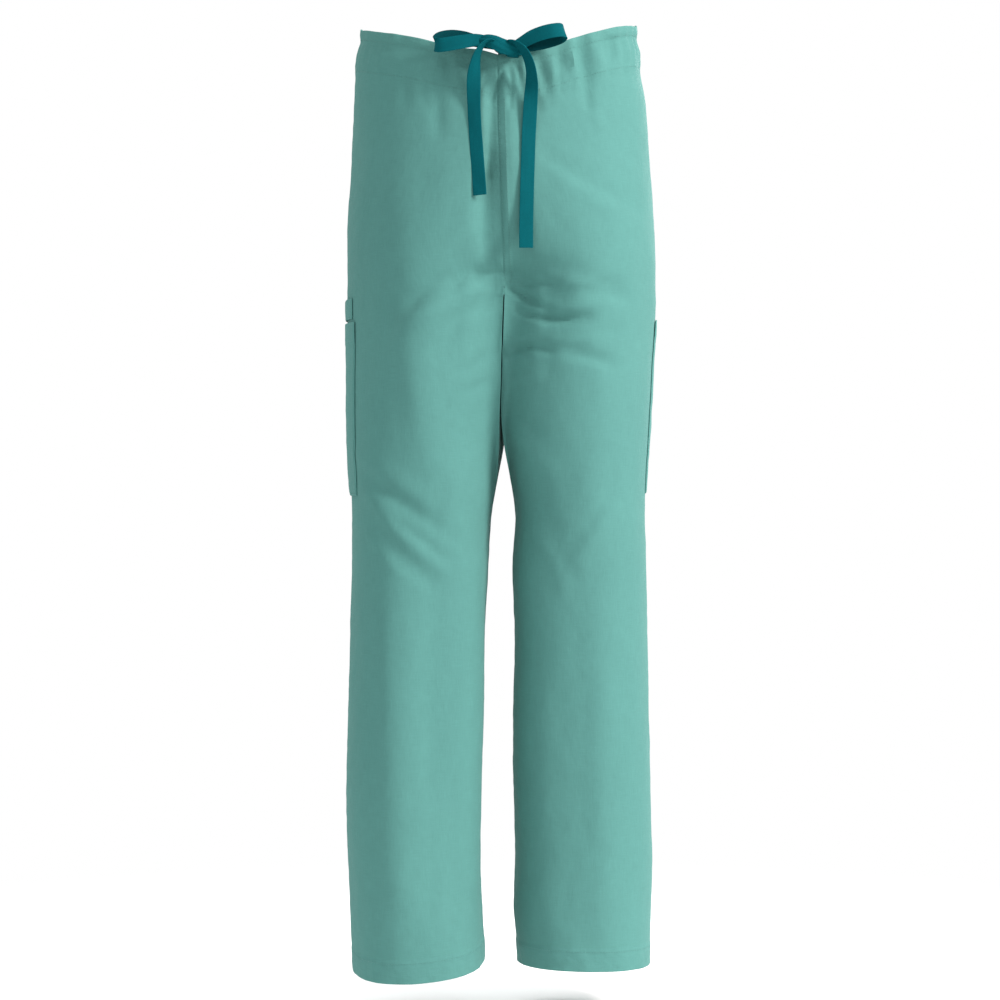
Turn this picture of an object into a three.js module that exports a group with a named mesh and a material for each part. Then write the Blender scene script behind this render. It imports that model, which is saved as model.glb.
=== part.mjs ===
// Drawstring scrub trousers, filled out and hollow, as they hang when worn.
// Millimetres. +Z is up, the front faces -Y, and +X is the wearer's left.
// The origin is in the middle of the waist, at the height where the drawstring grips.

import * as THREE from "three";

// Cloth and sewing
const WALL = 1.5; // cloth with its seam allowances
const SEAM_GAP = 0.3;
const CASING_DEPTH = 50;
const CASING_WALL = 4.2; // two layers with the drawstring between them
const HEM_DEPTH = 25;
const HEM_WALL = 2.4; // cloth turned up twice
const TURNED_EDGE = 0.5; // how far a casing or a hem stands out of the cloth below or above it

// Heights
const WAIST_TOP = 25;
const CROTCH = -284;
const HEM = -1067;
const DRAW_LINE = 8; // where the drawstring pulls the casing in
const DRAW_PULL = 2; // how far it pulls it in
const DRAW_REACH = 8; // how far above and below that shows
const CASING_FOOT = WAIST_TOP - CASING_DEPTH;

// Side signs: the wearer's right leg is at -X.
const RIGHT = -1;
const LEFT = 1;
const FRONT = -1;
const BACK = 1;

// Rows of numbers under named columns
const table = (columns, rows) => {
  const names = columns.split(" ");
  return rows.map((row) => Object.fromEntries(names.map((name, i) => [name, row[i]])));
};

// The seat by height: how far each outer side, the front and the back stand from the middle,
// where the centre seam runs, how far the two legs have parted (0 one oval, 1 two legs), and
// the share of the depth that the centre seam keeps while it turns under to the crotch.
const SEAT = table("z outer_right outer_left front back seam parted web", [
  [60, 163, 157, 109, 106, -4, 0, 1],
  [25, 164.5, 158.5, 112, 109, -4, 0, 1],
  [0, 169, 162, 115, 113, -4, 0, 1],
  [-26, 172, 164, 118, 119, -4, 0, 1],
  [-60, 174, 171, 121, 129, -3.5, 0.02, 1],
  [-115, 177, 175, 125, 143, -2, 0.12, 0.993],
  [-150, 179, 178, 126, 148, -1, 0.25, 0.975],
  [-180, 181, 180, 126, 150, 0, 0.42, 0.955],
  [-210, 182, 182, 125, 150, 1.5, 0.62, 0.925],
  [-235, 182, 183, 123, 147, 2.5, 0.8, 0.87],
  [-255, 182, 183, 121, 143, 3, 0.92, 0.78],
  [-268, 182, 183, 119, 140, 3.2, 0.98, 0.66],
  [-277, 182, 183, 118, 138, 3.4, 1, 0.48],
  [-284, 182, 183, 117, 136, 3.5, 1, 0],
  [-330, 182, 182, 112, 126, 3.5, 1, 0],
]);
const WEB_SHARPNESS = 8; // how quickly the web between the legs gives way to each leg's own oval
const WEB_REACH = 0.6; // how far round a leg the web starts, as the cosine of its angle

// Each leg by height: inner and outer side, front and back. The right leg stands a little forward.
const LEG_COLUMNS = "z inner outer front back";
const LEGS = {
  [RIGHT]: table(LEG_COLUMNS, [
    [-264, -3, 182, 120, 142],
    [-284, -3, 182, 117, 136],
    [-345, -2.9, 181.5, 113, 123],
    [-409, -2.9, 181, 110, 112],
    [-452, -1.2, 180, 109, 105],
    [-494, 4, 178, 108, 99],
    [-537, 11, 176, 108, 92],
    [-601, 15.5, 175.5, 109, 85],
    [-686, 20, 177, 110, 77],
    [-772, 21.3, 179, 112, 71],
    [-857, 23.5, 181, 116, 67],
    [-942, 24.5, 178.5, 120, 63],
    [-1006, 22, 176, 123, 59],
    [-1049, 20, 174, 125, 57],
    [-1100, 18, 172, 127, 56],
  ]),
  [LEFT]: table(LEG_COLUMNS, [
    [-264, 4, 183, 120, 142],
    [-284, 4, 183, 117, 136],
    [-345, 4.1, 180, 110, 129],
    [-409, 4.1, 177, 103, 122],
    [-452, 6, 174.5, 98, 117],
    [-494, 11.5, 172, 94, 112],
    [-537, 17, 171, 91, 108],
    [-601, 13.5, 172.5, 88, 104],
    [-686, 16, 173.5, 85, 101],
    [-772, 14.5, 175, 83, 100],
    [-857, 14.7, 177.5, 82, 100],
    [-942, 17, 179.5, 82, 101],
    [-1006, 15.5, 178, 82, 102],
    [-1049, 19, 176.5, 82, 102],
    [-1100, 20, 175, 82, 102],
  ]),
};

// How square a section is, by height: the share that its corners stand out
const SQUARENESS = table("z share", [
  [60, 0.02],
  [-100, 0.03],
  [-180, 0.02],
  [-230, -0.01],
  [-284, -0.05],
  [-360, -0.03],
  [-450, 0],
  [-550, 0.015],
  [-1100, 0.02],
]);

// The inner thighs lean past each other under the crotch, so no light shows between them.
const THIGH_LEAN = table("z lean", [
  [-250, 0],
  [-284, 0],
  [-330, 0.09],
  [-430, 0.09],
  [-520, 0],
  [-1100, 0],
]);

// How far the inner thighs, pressed together, fill the hollow between them at the front and back
const THIGHS_PRESSED = 30;

// How the waist edge and the hems leave the level
const WAIST_EDGE = { sideRight: 9, sideLeft: 12, front: -36, back: -10, fadeTo: -170, power: 1.2 };
// The share of its dip that the front waist edge has reached. Here z is the share of the way round
// from side to centre, below 0.
const WAIST_DIP = table("z right left", [
  [0, 0, 0],
  [-0.2, 0.094, 0.042],
  [-0.377, 0.25, 0.167],
  [-0.51, 0.376, 0.333],
  [-0.63, 0.522, 0.51],
  [-0.74, 0.689, 0.73],
  [-0.84, 0.815, 0.865],
  [-0.92, 0.875, 0.925],
  [-1, 1, 1],
]);
const HEM_EDGE = {
  [RIGHT]: { level: 6, towardsOuter: -5, front: -10 },
  [LEFT]: { level: 0, towardsOuter: -1.5, front: 2 },
};
const HEM_EDGE_FROM = -900;

// Soft folds on the front, by their line from start through middle to end, as seen from the front.
// A ridge stands out by its height and a trough has a height below 0. Width is half the fold's.
const FRONT_FOLDS = table("side x0 z0 x1 z1 x2 z2 width height", [
  [RIGHT, -111, -20, -112, -42, -111, -63, 8, -1.2],
  [RIGHT, -73, -46, -73, -72, -72, -101, 8, -1.2],
  [RIGHT, -62, -14, -61, -26, -60, -38, 6, -1.6],
  [RIGHT, -15, -34, -10, -84, -13, -158, 9, 1.7],
  [RIGHT, -5, -130, -8, -187, -7, -223, 11, -3],
  [RIGHT, -4, -250, -46, -284, -103, -315, 17, 3],
  [RIGHT, -37, -256, -69, -273, -97, -292, 12, -2],
  [RIGHT, -157, -479, -126, -505, -93, -528, 10, 1.8],
  [RIGHT, -137, -513, -103, -539, -56, -578, 11, -3],
  [RIGHT, -146, -522, -120, -564, -75, -600, 11, 3],
  [RIGHT, -122, -584, -97, -601, -71, -617, 11, -2],
  [LEFT, 8, -36, 8, -130, 7, -233, 11, -3],
  [LEFT, 87, 14, 92, -22, 101, -66, 7, -3.4],
  [LEFT, 128, 12, 129, 0, 128, -10, 5, -1.6],
  [LEFT, 44, -12, 46, -30, 51, -52, 6, -2.4],
  [LEFT, 69, 2, 68, -12, 72, -26, 5, -2],
  [LEFT, 56, -131, 103, -160, 153, -183, 9, -1.8],
  [LEFT, 15, -279, 32, -295, 54, -296, 8, -2.6],
  [LEFT, 17, -309, 61, -324, 99, -320, 8, -3],
  [LEFT, 105, -283, 131, -282, 142, -288, 10, -2],
  [LEFT, 7, -352, 32, -343, 53, -349, 8, -2.2],
  [LEFT, 80, -354, 109, -356, 125, -364, 8, -2],
  [LEFT, 13, -437, 32, -461, 51, -485, 10, 1.5],
  [LEFT, 122, -532, 106, -559, 90, -586, 12, 2],
]);

// Soft folds on the back, in the same columns
const BACK_FOLDS = table("side x0 z0 x1 z1 x2 z2 width height", [
  [RIGHT, -20, -262, -62, -287, -112, -298, 13, -2.4],
  [RIGHT, -26, -292, -70, -312, -118, -318, 14, 2.2],
  [RIGHT, -40, -560, -90, -585, -140, -580, 12, -2.4],
  [RIGHT, -50, -604, -92, -622, -138, -612, 12, 2],
  [LEFT, 22, -258, 66, -282, 116, -290, 13, -2.4],
  [LEFT, 24, -294, 74, -316, 122, -316, 14, 2.2],
  [LEFT, 38, -566, 92, -590, 136, -574, 12, -2],
]);

// The gathers that the drawstring makes in the casing and just below it
const GATHERS = { spacing: 19, unevenness: 0.6, width: 5.5, height: 2.4, above: 26, below: 34, radius: 150 };
const GATHERED = { [FRONT]: { [RIGHT]: 0.15, [LEFT]: 0.45 }, [BACK]: { [RIGHT]: 0.8, [LEFT]: 0.8 } };

// Cargo pockets on the side seams and the loop above the right one. Angles run round the leg
// from its outer side, in degrees, and are below 0 towards the front.
const POCKET = { wall: 1.3, lift: 0.7, bulge: 1.6, hem: 24, hemStep: 0.6, slant: 3 };
const POCKETS = {
  [RIGHT]: { top: -312, foot: -515, from: -28, to: 64 },
  [LEFT]: { top: -307, foot: -512, from: -10, to: 80 },
};
const TOOL_LOOP = { top: -284, foot: -308, from: -22, to: 24, wall: 1.2, lift: 0.7 };

// Drawstring: a flat woven tape tied in a bow in front of the waist edge
const TAPE = { width: 16, thick: 1.2 };
const KNOT = { x: 8, y: -125.5, z: -6.7, halfWidth: 16, halfDepth: 8.5, halfHeight: 8.4, square: 0.65 };
// A bow loop by its stations. Lean is the tilt of the tape's width from upright, in degrees.
const LOOP_COLUMNS = "x y z lean";
const LOOP_RIGHT = table(LOOP_COLUMNS, [
  [-8, -127.3, -2, -6],
  [-25, -134.5, 1, -8],
  [-41, -138.5, 1.2, -9],
  [-58, -138.5, -1.2, -9],
  [-70.5, -135, -3.2, -8],
  [-75, -129.5, -2.5, -4],
  [-71.5, -125, 1, 0],
  [-58, -121.5, 5.5, 4],
  [-41, -121, 6, 4],
  [-25, -122, 3, 2],
  [-8.2, -124.2, -2, 0],
]);
const LOOP_LEFT = table(LOOP_COLUMNS, [
  [24.1, -127.3, -4, -12],
  [36, -134, 2.4, -20],
  [48, -138.5, 8, -21],
  [60, -139.5, 11, -19],
  [68.5, -136.5, 12.3, -17],
  [72, -131, 11.5, -17],
  [69, -125.5, 9.5, -17],
  [60, -122, 6.5, -19],
  [48, -121, 2.5, -20],
  [36, -122, -1.5, -18],
  [23.9, -124, -4.5, -16],
]);
// A hanging end by its stations. Turn is how far the tape is twisted away from facing the front.
const END_COLUMNS = "x y z turn";
const END_RIGHT = table(END_COLUMNS, [
  [-10, -118.6, -4, 0],
  [-17.5, -117.8, -6, -8],
  [-24, -117.2, -11, -16],
  [-28, -117.6, -18, -22],
  [-30.5, -119.4, -28, -25],
  [-31.5, -121.4, -42, -25],
  [-31.3, -123, -60, -24],
  [-30.5, -125.4, -85, -22],
  [-28, -128.6, -120, -20],
  [-25.5, -129.8, -150, -20],
  [-24, -130, -173, -20],
]);
const END_LEFT = table(END_COLUMNS, [
  [5, -126.5, 3.4, 90],
  [12.5, -129.5, 3.4, 88],
  [19.2, -138.8, 2.2, 84],
  [25, -142, -3, 76],
  [29, -140.8, -10, 66],
  [32, -137.5, -19, 58],
  [33.8, -133.5, -30, 48],
  [34.3, -129.5, -43, 36],
  [33.6, -126, -58, 20],
  [32.8, -124, -76, 6],
  [31.5, -124.2, -105, 0],
  [30.3, -126.9, -140, 0],
  [29.3, -127.6, -175, 0],
  [28.6, -127.4, -208, 0],
  [28.5, -127, -233, 0],
]);

// Grids: height steps of a panel and how many columns each stretch has
const FRONT_ROWS = table("from to steps columns", [
  [WAIST_TOP, CASING_FOOT, 4, 40],
  [CASING_FOOT - 1, -85, 3, 22],
  [-102, CROTCH + 6, 9, 22],
  [CROTCH, -400, 6, 22],
  [-430, -640, 6, 22],
  [-700, HEM + HEM_DEPTH + 1, 5, 22],
  [HEM + HEM_DEPTH, HEM, 2, 22],
]);
const BACK_ROWS = table("from to steps columns", [
  [WAIST_TOP, CASING_FOOT, 4, 30],
  [CASING_FOOT - 1, -85, 2, 18],
  [-110, CROTCH + 6, 7, 18],
  [CROTCH, -400, 4, 18],
  [-440, -640, 4, 18],
  [-720, HEM + HEM_DEPTH + 1, 4, 18],
  [HEM + HEM_DEPTH, HEM, 2, 18],
]);

const clamp01 = (x) => Math.min(1, Math.max(0, x));
const smooth = (x) => clamp01(x) ** 2 * (3 - 2 * clamp01(x));
const bell = (x) => Math.exp(-x * x);
const mix = (a, b, share) => a + (b - a) * share;
const radians = (degrees) => (degrees * Math.PI) / 180;

// A column of a table at a height, on a smooth curve through its rows
function at(rows, column, z) {
  const last = rows.length - 1;
  const zs = (i) => rows[i].z;
  if (z >= zs(0)) return rows[0][column];
  if (z <= zs(last)) return rows[last][column];
  let i = 0;
  while (z < zs(i + 1)) i += 1;
  const slope = (k) => {
    const a = Math.max(0, k - 1);
    const b = Math.min(last, k + 1);
    return (rows[b][column] - rows[a][column]) / (zs(b) - zs(a));
  };
  const step = zs(i + 1) - zs(i);
  const t = (z - zs(i)) / step;
  const [p, q] = [rows[i][column], rows[i + 1][column]];
  const [m, n] = [slope(i) * step, slope(i + 1) * step];
  return p * (2 * t ** 3 - 3 * t ** 2 + 1) + m * (t ** 3 - 2 * t ** 2 + t)
    + q * (3 * t ** 2 - 2 * t ** 3) + n * (t ** 3 - t ** 2);
}

// The oval of one side at a height. Its x values are distances from the centre seam.
function oval(side, z) {
  const seam = at(SEAT, "seam", z);
  const rows = z > CROTCH ? SEAT : LEGS[side];
  const front = at(rows, "front", z);
  const back = at(rows, "back", z);
  const shape = { seam, middleY: (back - front) / 2, halfDepth: (back + front) / 2, z, web: 0 };
  shape.square = at(SQUARENESS, "share", z);
  shape.lean = at(THIGH_LEAN, "lean", z);
  if (z > CROTCH) {
    const outer = at(SEAT, side === RIGHT ? "outer_right" : "outer_left", z) - side * seam;
    const parted = clamp01(at(SEAT, "parted", z));
    shape.halfWidth = outer / (1 + parted);
    shape.middleX = parted * shape.halfWidth;
    const kept = clamp01(at(SEAT, "web", z)) ** WEB_SHARPNESS - (1 - parted ** 2) ** (WEB_SHARPNESS / 2);
    if (kept > 0) shape.web = kept / smooth(parted / WEB_REACH);
  } else {
    const inner = at(rows, "inner", z) - side * seam;
    const outer = at(rows, "outer", z) - side * seam;
    shape.halfWidth = (outer - inner) / 2;
    shape.middleX = (outer + inner) / 2;
  }
  return shape;
}

// How far from the centre seam a point of an oval is. Angle 0 is the outer side, and below 0 is the front.
function fromSeamAt(shape, angle) {
  return shape.middleX + shape.halfWidth * (1 + shape.square * Math.sin(2 * angle) ** 2) * Math.cos(angle);
}

// A point of an oval
function onOval(side, shape, angle) {
  const reach = 1 + shape.square * Math.sin(2 * angle) ** 2;
  let share = Math.sin(angle);
  if (shape.web > 0 && Math.cos(angle) < 0) {
    const web = shape.web * smooth(-Math.cos(angle) / WEB_REACH);
    share = Math.sign(angle) * (Math.abs(share) ** WEB_SHARPNESS + web) ** (1 / WEB_SHARPNESS);
  }
  const y = shape.middleY + shape.halfDepth * reach * share;
  const inwards = (1 - Math.cos(angle)) / 2;
  const roundIn = smooth((Math.abs(angle) - 2.05) / 0.8) * smooth((Math.PI - Math.abs(angle)) / 0.3);
  const pressed = THIGHS_PRESSED * roundIn * smooth((CROTCH + 30 - shape.z) / 36) * smooth((shape.z + 540) / 150);
  return {
    x: shape.seam + side * fromSeamAt(shape, angle) - shape.lean * (y - shape.middleY) * inwards,
    y: y + Math.sign(angle) * pressed,
  };
}

// The angle at which a panel meets the centre seam or the inseam, half a seam gap short of it
function seamAngle(side, shape) {
  if (shape.z <= CROTCH) return Math.PI - SEAM_GAP / 2 / shape.halfDepth;
  let [low, high] = [0, Math.PI];
  for (let i = 0; i < 40; i += 1) {
    const angle = (low + high) / 2;
    if (fromSeamAt(shape, angle) > SEAM_GAP / 2) low = angle;
    else high = angle;
  }
  return low;
}

// The real height of a point of a level row: the waist edge dips and the hems lean.
function height(side, level, angle) {
  const round = Math.abs(angle) / (Math.PI / 2);
  const share = angle < 0
    ? at(WAIST_DIP, side === RIGHT ? "right" : "left", -Math.min(1, round))
    : Math.min(1, round) ** WAIST_EDGE.power;
  const sideRise = side === RIGHT ? WAIST_EDGE.sideRight : WAIST_EDGE.sideLeft;
  const centre = angle < 0 ? WAIST_EDGE.front : WAIST_EDGE.back;
  const waist = smooth((level - WAIST_EDGE.fadeTo) / (CASING_FOOT - WAIST_EDGE.fadeTo));
  const edge = HEM_EDGE[side];
  const hem = smooth((HEM_EDGE_FROM - level) / (HEM_EDGE_FROM - HEM - HEM_DEPTH));
  const lean = edge.level + edge.towardsOuter * Math.cos(angle) + edge.front * Math.max(0, -Math.sin(angle));
  return level + mix(sideRise, centre, share) * waist + lean * hem;
}

// How far the folds move the cloth at a point of the front or back, seen from the front.
// A fold is deepest in its middle, and its two ends keep this share of its height.
const FOLD_END_SHARE = 0.55;
const FOLD_DEPTH = 1.5;
const FOLD_STEPS = 8;
function foldHeight(folds, side, x, z) {
  let sum = 0;
  for (const fold of folds) {
    const own = fold.side === side ? 1 : smooth((z - CROTCH - 15) / 40);
    let nearest = Infinity;
    let place = 0;
    for (let i = 0; i <= FOLD_STEPS; i += 1) {
      const t = i / FOLD_STEPS;
      const bx = (1 - t) ** 2 * fold.x0 + 2 * t * (1 - t) * fold.x1 + t ** 2 * fold.x2;
      const bz = (1 - t) ** 2 * fold.z0 + 2 * t * (1 - t) * fold.z1 + t ** 2 * fold.z2;
      const far = Math.hypot(x - bx, z - bz);
      if (far < nearest) [nearest, place] = [far, t];
    }
    sum += own * fold.height * bell(nearest / fold.width) * mix(FOLD_END_SHARE, 1, Math.sin(Math.PI * place));
  }
  return sum;
}

// A number from 0 to 1 that looks random and is the same each time for the same seed
const uneven = (n) => {
  const x = Math.sin(n * 12.9898 + 4.1414) * 43758.5453;
  return x - Math.floor(x);
};

// Gathers by distance round the waist from the centre seam. They only rise, over a plain inside.
function gatherHeight(side, face, around, level) {
  const first = Math.floor(around / GATHERS.spacing) - 2;
  let sum = 0;
  for (let i = Math.max(0, first); i < first + 5; i += 1) {
    const seed = i + 100 * (side + 2) + 1000 * (face + 2);
    const centre = GATHERS.spacing * (i + 0.5 + GATHERS.unevenness * (uneven(seed) - 0.5));
    const tall = 0.35 + 0.65 * uneven(seed + 7);
    const up = level > DRAW_LINE ? GATHERS.above : GATHERS.below * (0.5 + uneven(seed + 3));
    sum += tall * bell((around - centre) / GATHERS.width) * bell((level - DRAW_LINE) / up);
  }
  return sum * GATHERED[face][side] * GATHERS.height;
}

// A point of the plain surface, before folds
function plainPoint(side, level, angle) {
  const { x, y } = onOval(side, oval(side, level), angle);
  return new THREE.Vector3(x, y, height(side, level, angle));
}

// The way out of the plain surface, from two short steps along it
function wayOut(side, level, angle) {
  const here = plainPoint(side, level, angle);
  const STEP = 0.02;
  const face = angle < 0 ? FRONT : BACK;
  const round = plainPoint(side, level, angle - STEP * face).sub(here);
  const down = plainPoint(side, level - 1, angle).sub(plainPoint(side, level + 1, angle));
  return round.cross(down).multiplyScalar(side * face).normalize();
}

// A point of the garment's cloth: out is its distance from the cloth's outer face.
function clothPoint(side, face, level, angle, out, withGathers = true) {
  const point = plainPoint(side, level, angle);
  const way = wayOut(side, level, angle);
  const towards = smooth((way.y * face + 0.15) / 0.5);
  const folds = face === FRONT ? FRONT_FOLDS : BACK_FOLDS;
  let off = out + towards * FOLD_DEPTH * foldHeight(folds, side, point.x, point.z);
  const turned = smooth((level - CASING_FOOT + 1) / 2) + smooth((HEM + HEM_DEPTH - level + 1) / 2);
  off += turned * TURNED_EDGE;
  off -= DRAW_PULL * bell((level - DRAW_LINE) / DRAW_REACH);
  if (withGathers) {
    const around = Math.abs(Math.abs(angle) - Math.PI / 2) * GATHERS.radius;
    off += gatherHeight(side, face, around, level);
  }
  point.addScaledVector(way, off);
  const seam = at(SEAT, "seam", level);
  if (level > CROTCH && side * (point.x - seam) < SEAM_GAP / 2) point.x = seam + side * SEAM_GAP / 2;
  return point;
}

// A closed wall from rows of outer points and rows of inner points. Rows may differ in length.
function wall(outer, inner) {
  const points = [];
  const number = (rows) => rows.map((row) => row.map((p) => points.push(p.x, p.y, p.z) / 3 - 1));
  const [o, n] = [number(outer), number(inner)];
  const faces = [];
  // Zips row a to row b below it, stepping along whichever row lags behind
  const zip = (a, b, flip) => {
    let [i, j] = [0, 0];
    while (i < a.length - 1 || j < b.length - 1) {
      const alongA = i < a.length - 1 ? (i + 1) / (a.length - 1) : Infinity;
      const alongB = j < b.length - 1 ? (j + 1) / (b.length - 1) : Infinity;
      const face = alongA <= alongB ? [a[i], b[j], a[i + 1]] : [a[i], b[j], b[j + 1]];
      if (alongA <= alongB) i += 1;
      else j += 1;
      faces.push(flip ? face.reverse() : face);
    }
  };
  for (let r = 0; r < o.length - 1; r += 1) {
    zip(o[r], o[r + 1], false);
    zip(n[r], n[r + 1], true);
    const [oEnd, nEnd] = [o[r].at(-1), n[r].at(-1)];
    const [oNext, nNext] = [o[r + 1].at(-1), n[r + 1].at(-1)];
    faces.push([o[r + 1][0], o[r][0], n[r][0]], [o[r + 1][0], n[r][0], n[r + 1][0]]);
    faces.push([oEnd, oNext, nNext], [oEnd, nNext, nEnd]);
  }
  const edge = (a, b, flip) => {
    for (let j = 0; j < a.length - 1; j += 1) {
      const quad = [[a[j], a[j + 1], b[j + 1]], [a[j], b[j + 1], b[j]]];
      faces.push(...quad.map((face) => (flip ? face.reverse() : face)));
    }
  };
  edge(o[0], n[0], false);
  edge(o.at(-1), n.at(-1), true);
  return facingOut(points, faces);
}

// The geometry of a closed mesh with its faces turned to point out
function facingOut(points, faces) {
  const corner = (i) => new THREE.Vector3(...points.slice(3 * i, 3 * i + 3));
  const volume = faces.reduce((sum, [a, b, c]) => sum + corner(a).dot(corner(b).cross(corner(c))), 0);
  const turned = volume < 0 ? faces.map(([a, b, c]) => [a, c, b]) : faces;
  const geometry = new THREE.BufferGeometry();
  geometry.setAttribute("position", new THREE.Float32BufferAttribute(points, 3));
  geometry.setIndex(turned.flat());
  geometry.computeVertexNormals();
  return geometry;
}

// One trouser panel, from the waist edge to the hem and from the side seam to the middle
function panel(side, face) {
  const [outer, inner] = [[], []];
  for (const stretch of face === FRONT ? FRONT_ROWS : BACK_ROWS) {
    for (let i = 0; i < stretch.steps; i += 1) {
      const level = mix(stretch.from, stretch.to, stretch.steps > 1 ? i / (stretch.steps - 1) : 0);
      const shape = oval(side, level);
      const far = seamAngle(side, shape);
      const near = SEAM_GAP / shape.halfDepth;
      const inCasing = smooth((level - CASING_FOOT + 1) / 2);
      const inHem = smooth((HEM + HEM_DEPTH - level + 1) / 2);
      const thick = WALL + (CASING_WALL - WALL) * inCasing + (HEM_WALL - WALL) * inHem;
      const shares = Array.from({ length: stretch.columns + 1 }, (_, j) => j / stretch.columns);
      const angles = shares.map((share) => face * mix(far, near, share));
      outer.push(angles.map((angle) => clothPoint(side, face, level, angle, 0)));
      inner.push(angles.map((angle) => clothPoint(side, face, level, angle, -thick, false)));
    }
  }
  return wall(outer, inner);
}

// A patch that lies on the side of a leg, over its side seam, moved out from the cloth's own points
function patch(side, place, build) {
  const [outer, inner] = [[], []];
  for (let i = 0; i <= build.rows; i += 1) {
    const down = i / build.rows;
    const level = mix(place.top, place.foot, down);
    const row = [[], []];
    for (let j = 0; j <= build.columns; j += 1) {
      const across = j / build.columns;
      const angle = radians(mix(place.from, place.to, across) + build.slant * (0.5 - down));
      const face = angle < 0 ? FRONT : BACK;
      const lift = build.lift + build.bulge * Math.sin(Math.PI * across) * Math.sin(Math.PI * down) ** 0.5;
      const thick = build.wall + (level > place.top - build.hem ? build.hemStep : 0);
      row[0].push(clothPoint(side, face, level, angle, lift + thick));
      row[1].push(clothPoint(side, face, level, angle, lift));
    }
    outer.push(row[0]);
    inner.push(row[1]);
  }
  return wall(outer, inner);
}

// A flat tape along stations, each with its middle, the way across it and the way that it faces
function tape(stations) {
  const row = ({ middle, across, facing }, sign) => [-0.5, 0, 0.5].map((share) => middle.clone()
    .addScaledVector(across, share * TAPE.width)
    .addScaledVector(facing, sign * TAPE.thick / 2));
  return wall(stations.map((station) => row(station, 1)), stations.map((station) => row(station, -1)));
}

// Places along a smooth curve through the rows, each with its way ahead and one of the rows' columns
function stationsOf(rows, column) {
  const points = rows.map(({ x, y, z }) => new THREE.Vector3(x, y, z));
  const curve = new THREE.CatmullRomCurve3(points, false, "centripetal");
  const steps = 2 * (rows.length - 1);
  return Array.from({ length: steps + 1 }, (_, i) => {
    const t = i / steps;
    const k = Math.min(rows.length - 2, Math.floor(t * (rows.length - 1)));
    const angle = radians(mix(rows[k][column], rows[k + 1][column], t * (rows.length - 1) - k));
    return { middle: curve.getPoint(t), ahead: curve.getTangent(t), angle };
  });
}

// A bow's loop: the tape stands on its edge, so its width is nearly upright
function bowLoop(rows) {
  return tape(stationsOf(rows, "lean").map(({ middle, ahead, angle }) => {
    const upright = new THREE.Vector3(Math.sin(angle), 0, Math.cos(angle));
    const across = upright.addScaledVector(ahead, -upright.dot(ahead)).normalize();
    return { middle, across, facing: ahead.clone().cross(across).normalize() };
  }));
}

// A hanging end of the drawstring: untwisted, the tape's width lies across the front
function hangingEnd(rows) {
  const forward = new THREE.Vector3(0, -1, 0);
  return tape(stationsOf(rows, "turn").map(({ middle, ahead, angle }) => {
    const across = ahead.clone().cross(forward).normalize().applyAxisAngle(ahead, angle);
    return { middle, across, facing: across.clone().cross(ahead).normalize() };
  }));
}

// The knot: a rounded lump with the tape's wraps running over it aslant
function knot() {
  const geometry = new THREE.SphereGeometry(1, 18, 10);
  const place = geometry.getAttribute("position");
  for (let i = 0; i < place.count; i += 1) {
    const round = new THREE.Vector3().fromBufferAttribute(place, i);
    const p = new THREE.Vector3(...round.toArray().map((c) => Math.sign(c) * Math.abs(c) ** KNOT.square));
    const wraps = 1 + 0.06 * Math.cos(7 * p.x + 3 * p.z) * (1 - p.x * p.x);
    place.setXYZ(
      i,
      KNOT.x + KNOT.halfWidth * p.x,
      KNOT.y + KNOT.halfDepth * p.y * wraps,
      KNOT.z + KNOT.halfHeight * p.z * wraps - 3 * p.x,
    );
  }
  geometry.deleteAttribute("normal");
  geometry.deleteAttribute("uv");
  return geometry;
}

const cloth = () => new THREE.MeshStandardMaterial({ color: 0x6aaea4, roughness: 0.85, metalness: 0 });
const tapeCloth = () => new THREE.MeshStandardMaterial({ color: 0x067a82, roughness: 0.7, metalness: 0 });

function named(name, geometry, material) {
  const mesh = new THREE.Mesh(geometry, material);
  mesh.name = name;
  return mesh;
}

const trousers = new THREE.Group();
trousers.add(
  named("front_right", panel(RIGHT, FRONT), cloth()),
  named("front_left", panel(LEFT, FRONT), cloth()),
  named("back_right", panel(RIGHT, BACK), cloth()),
  named("back_left", panel(LEFT, BACK), cloth()),
);
const pocketBuild = { ...POCKET, columns: 14, rows: 8 };
trousers.add(
  named("cargo_pocket_right", patch(RIGHT, POCKETS[RIGHT], pocketBuild), cloth()),
  named("cargo_pocket_left", patch(LEFT, POCKETS[LEFT], pocketBuild), cloth()),
);
const loopBuild = { ...TOOL_LOOP, bulge: 0.8, hem: 0, hemStep: 0, slant: 0, columns: 8, rows: 2 };
trousers.add(named("tool_loop", patch(RIGHT, TOOL_LOOP, loopBuild), cloth()));
trousers.add(
  named("drawstring_loop_right", bowLoop(LOOP_RIGHT), tapeCloth()),
  named("drawstring_loop_left", bowLoop(LOOP_LEFT), tapeCloth()),
  named("drawstring_end_right", hangingEnd(END_RIGHT), tapeCloth()),
  named("drawstring_end_left", hangingEnd(END_LEFT), tapeCloth()),
  named("drawstring_knot", knot(), tapeCloth()),
);

export default trousers;
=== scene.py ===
# Drawstring scrub trousers: cloth panels, cargo pockets, sewing, drawstring, camera, light and floor.
# Garment sizes in the tables are millimetres, as a pattern cutter writes them. Objects are in metres.
# +Z is up, the front faces -Y and +X is the wearer's left.

import math

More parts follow.
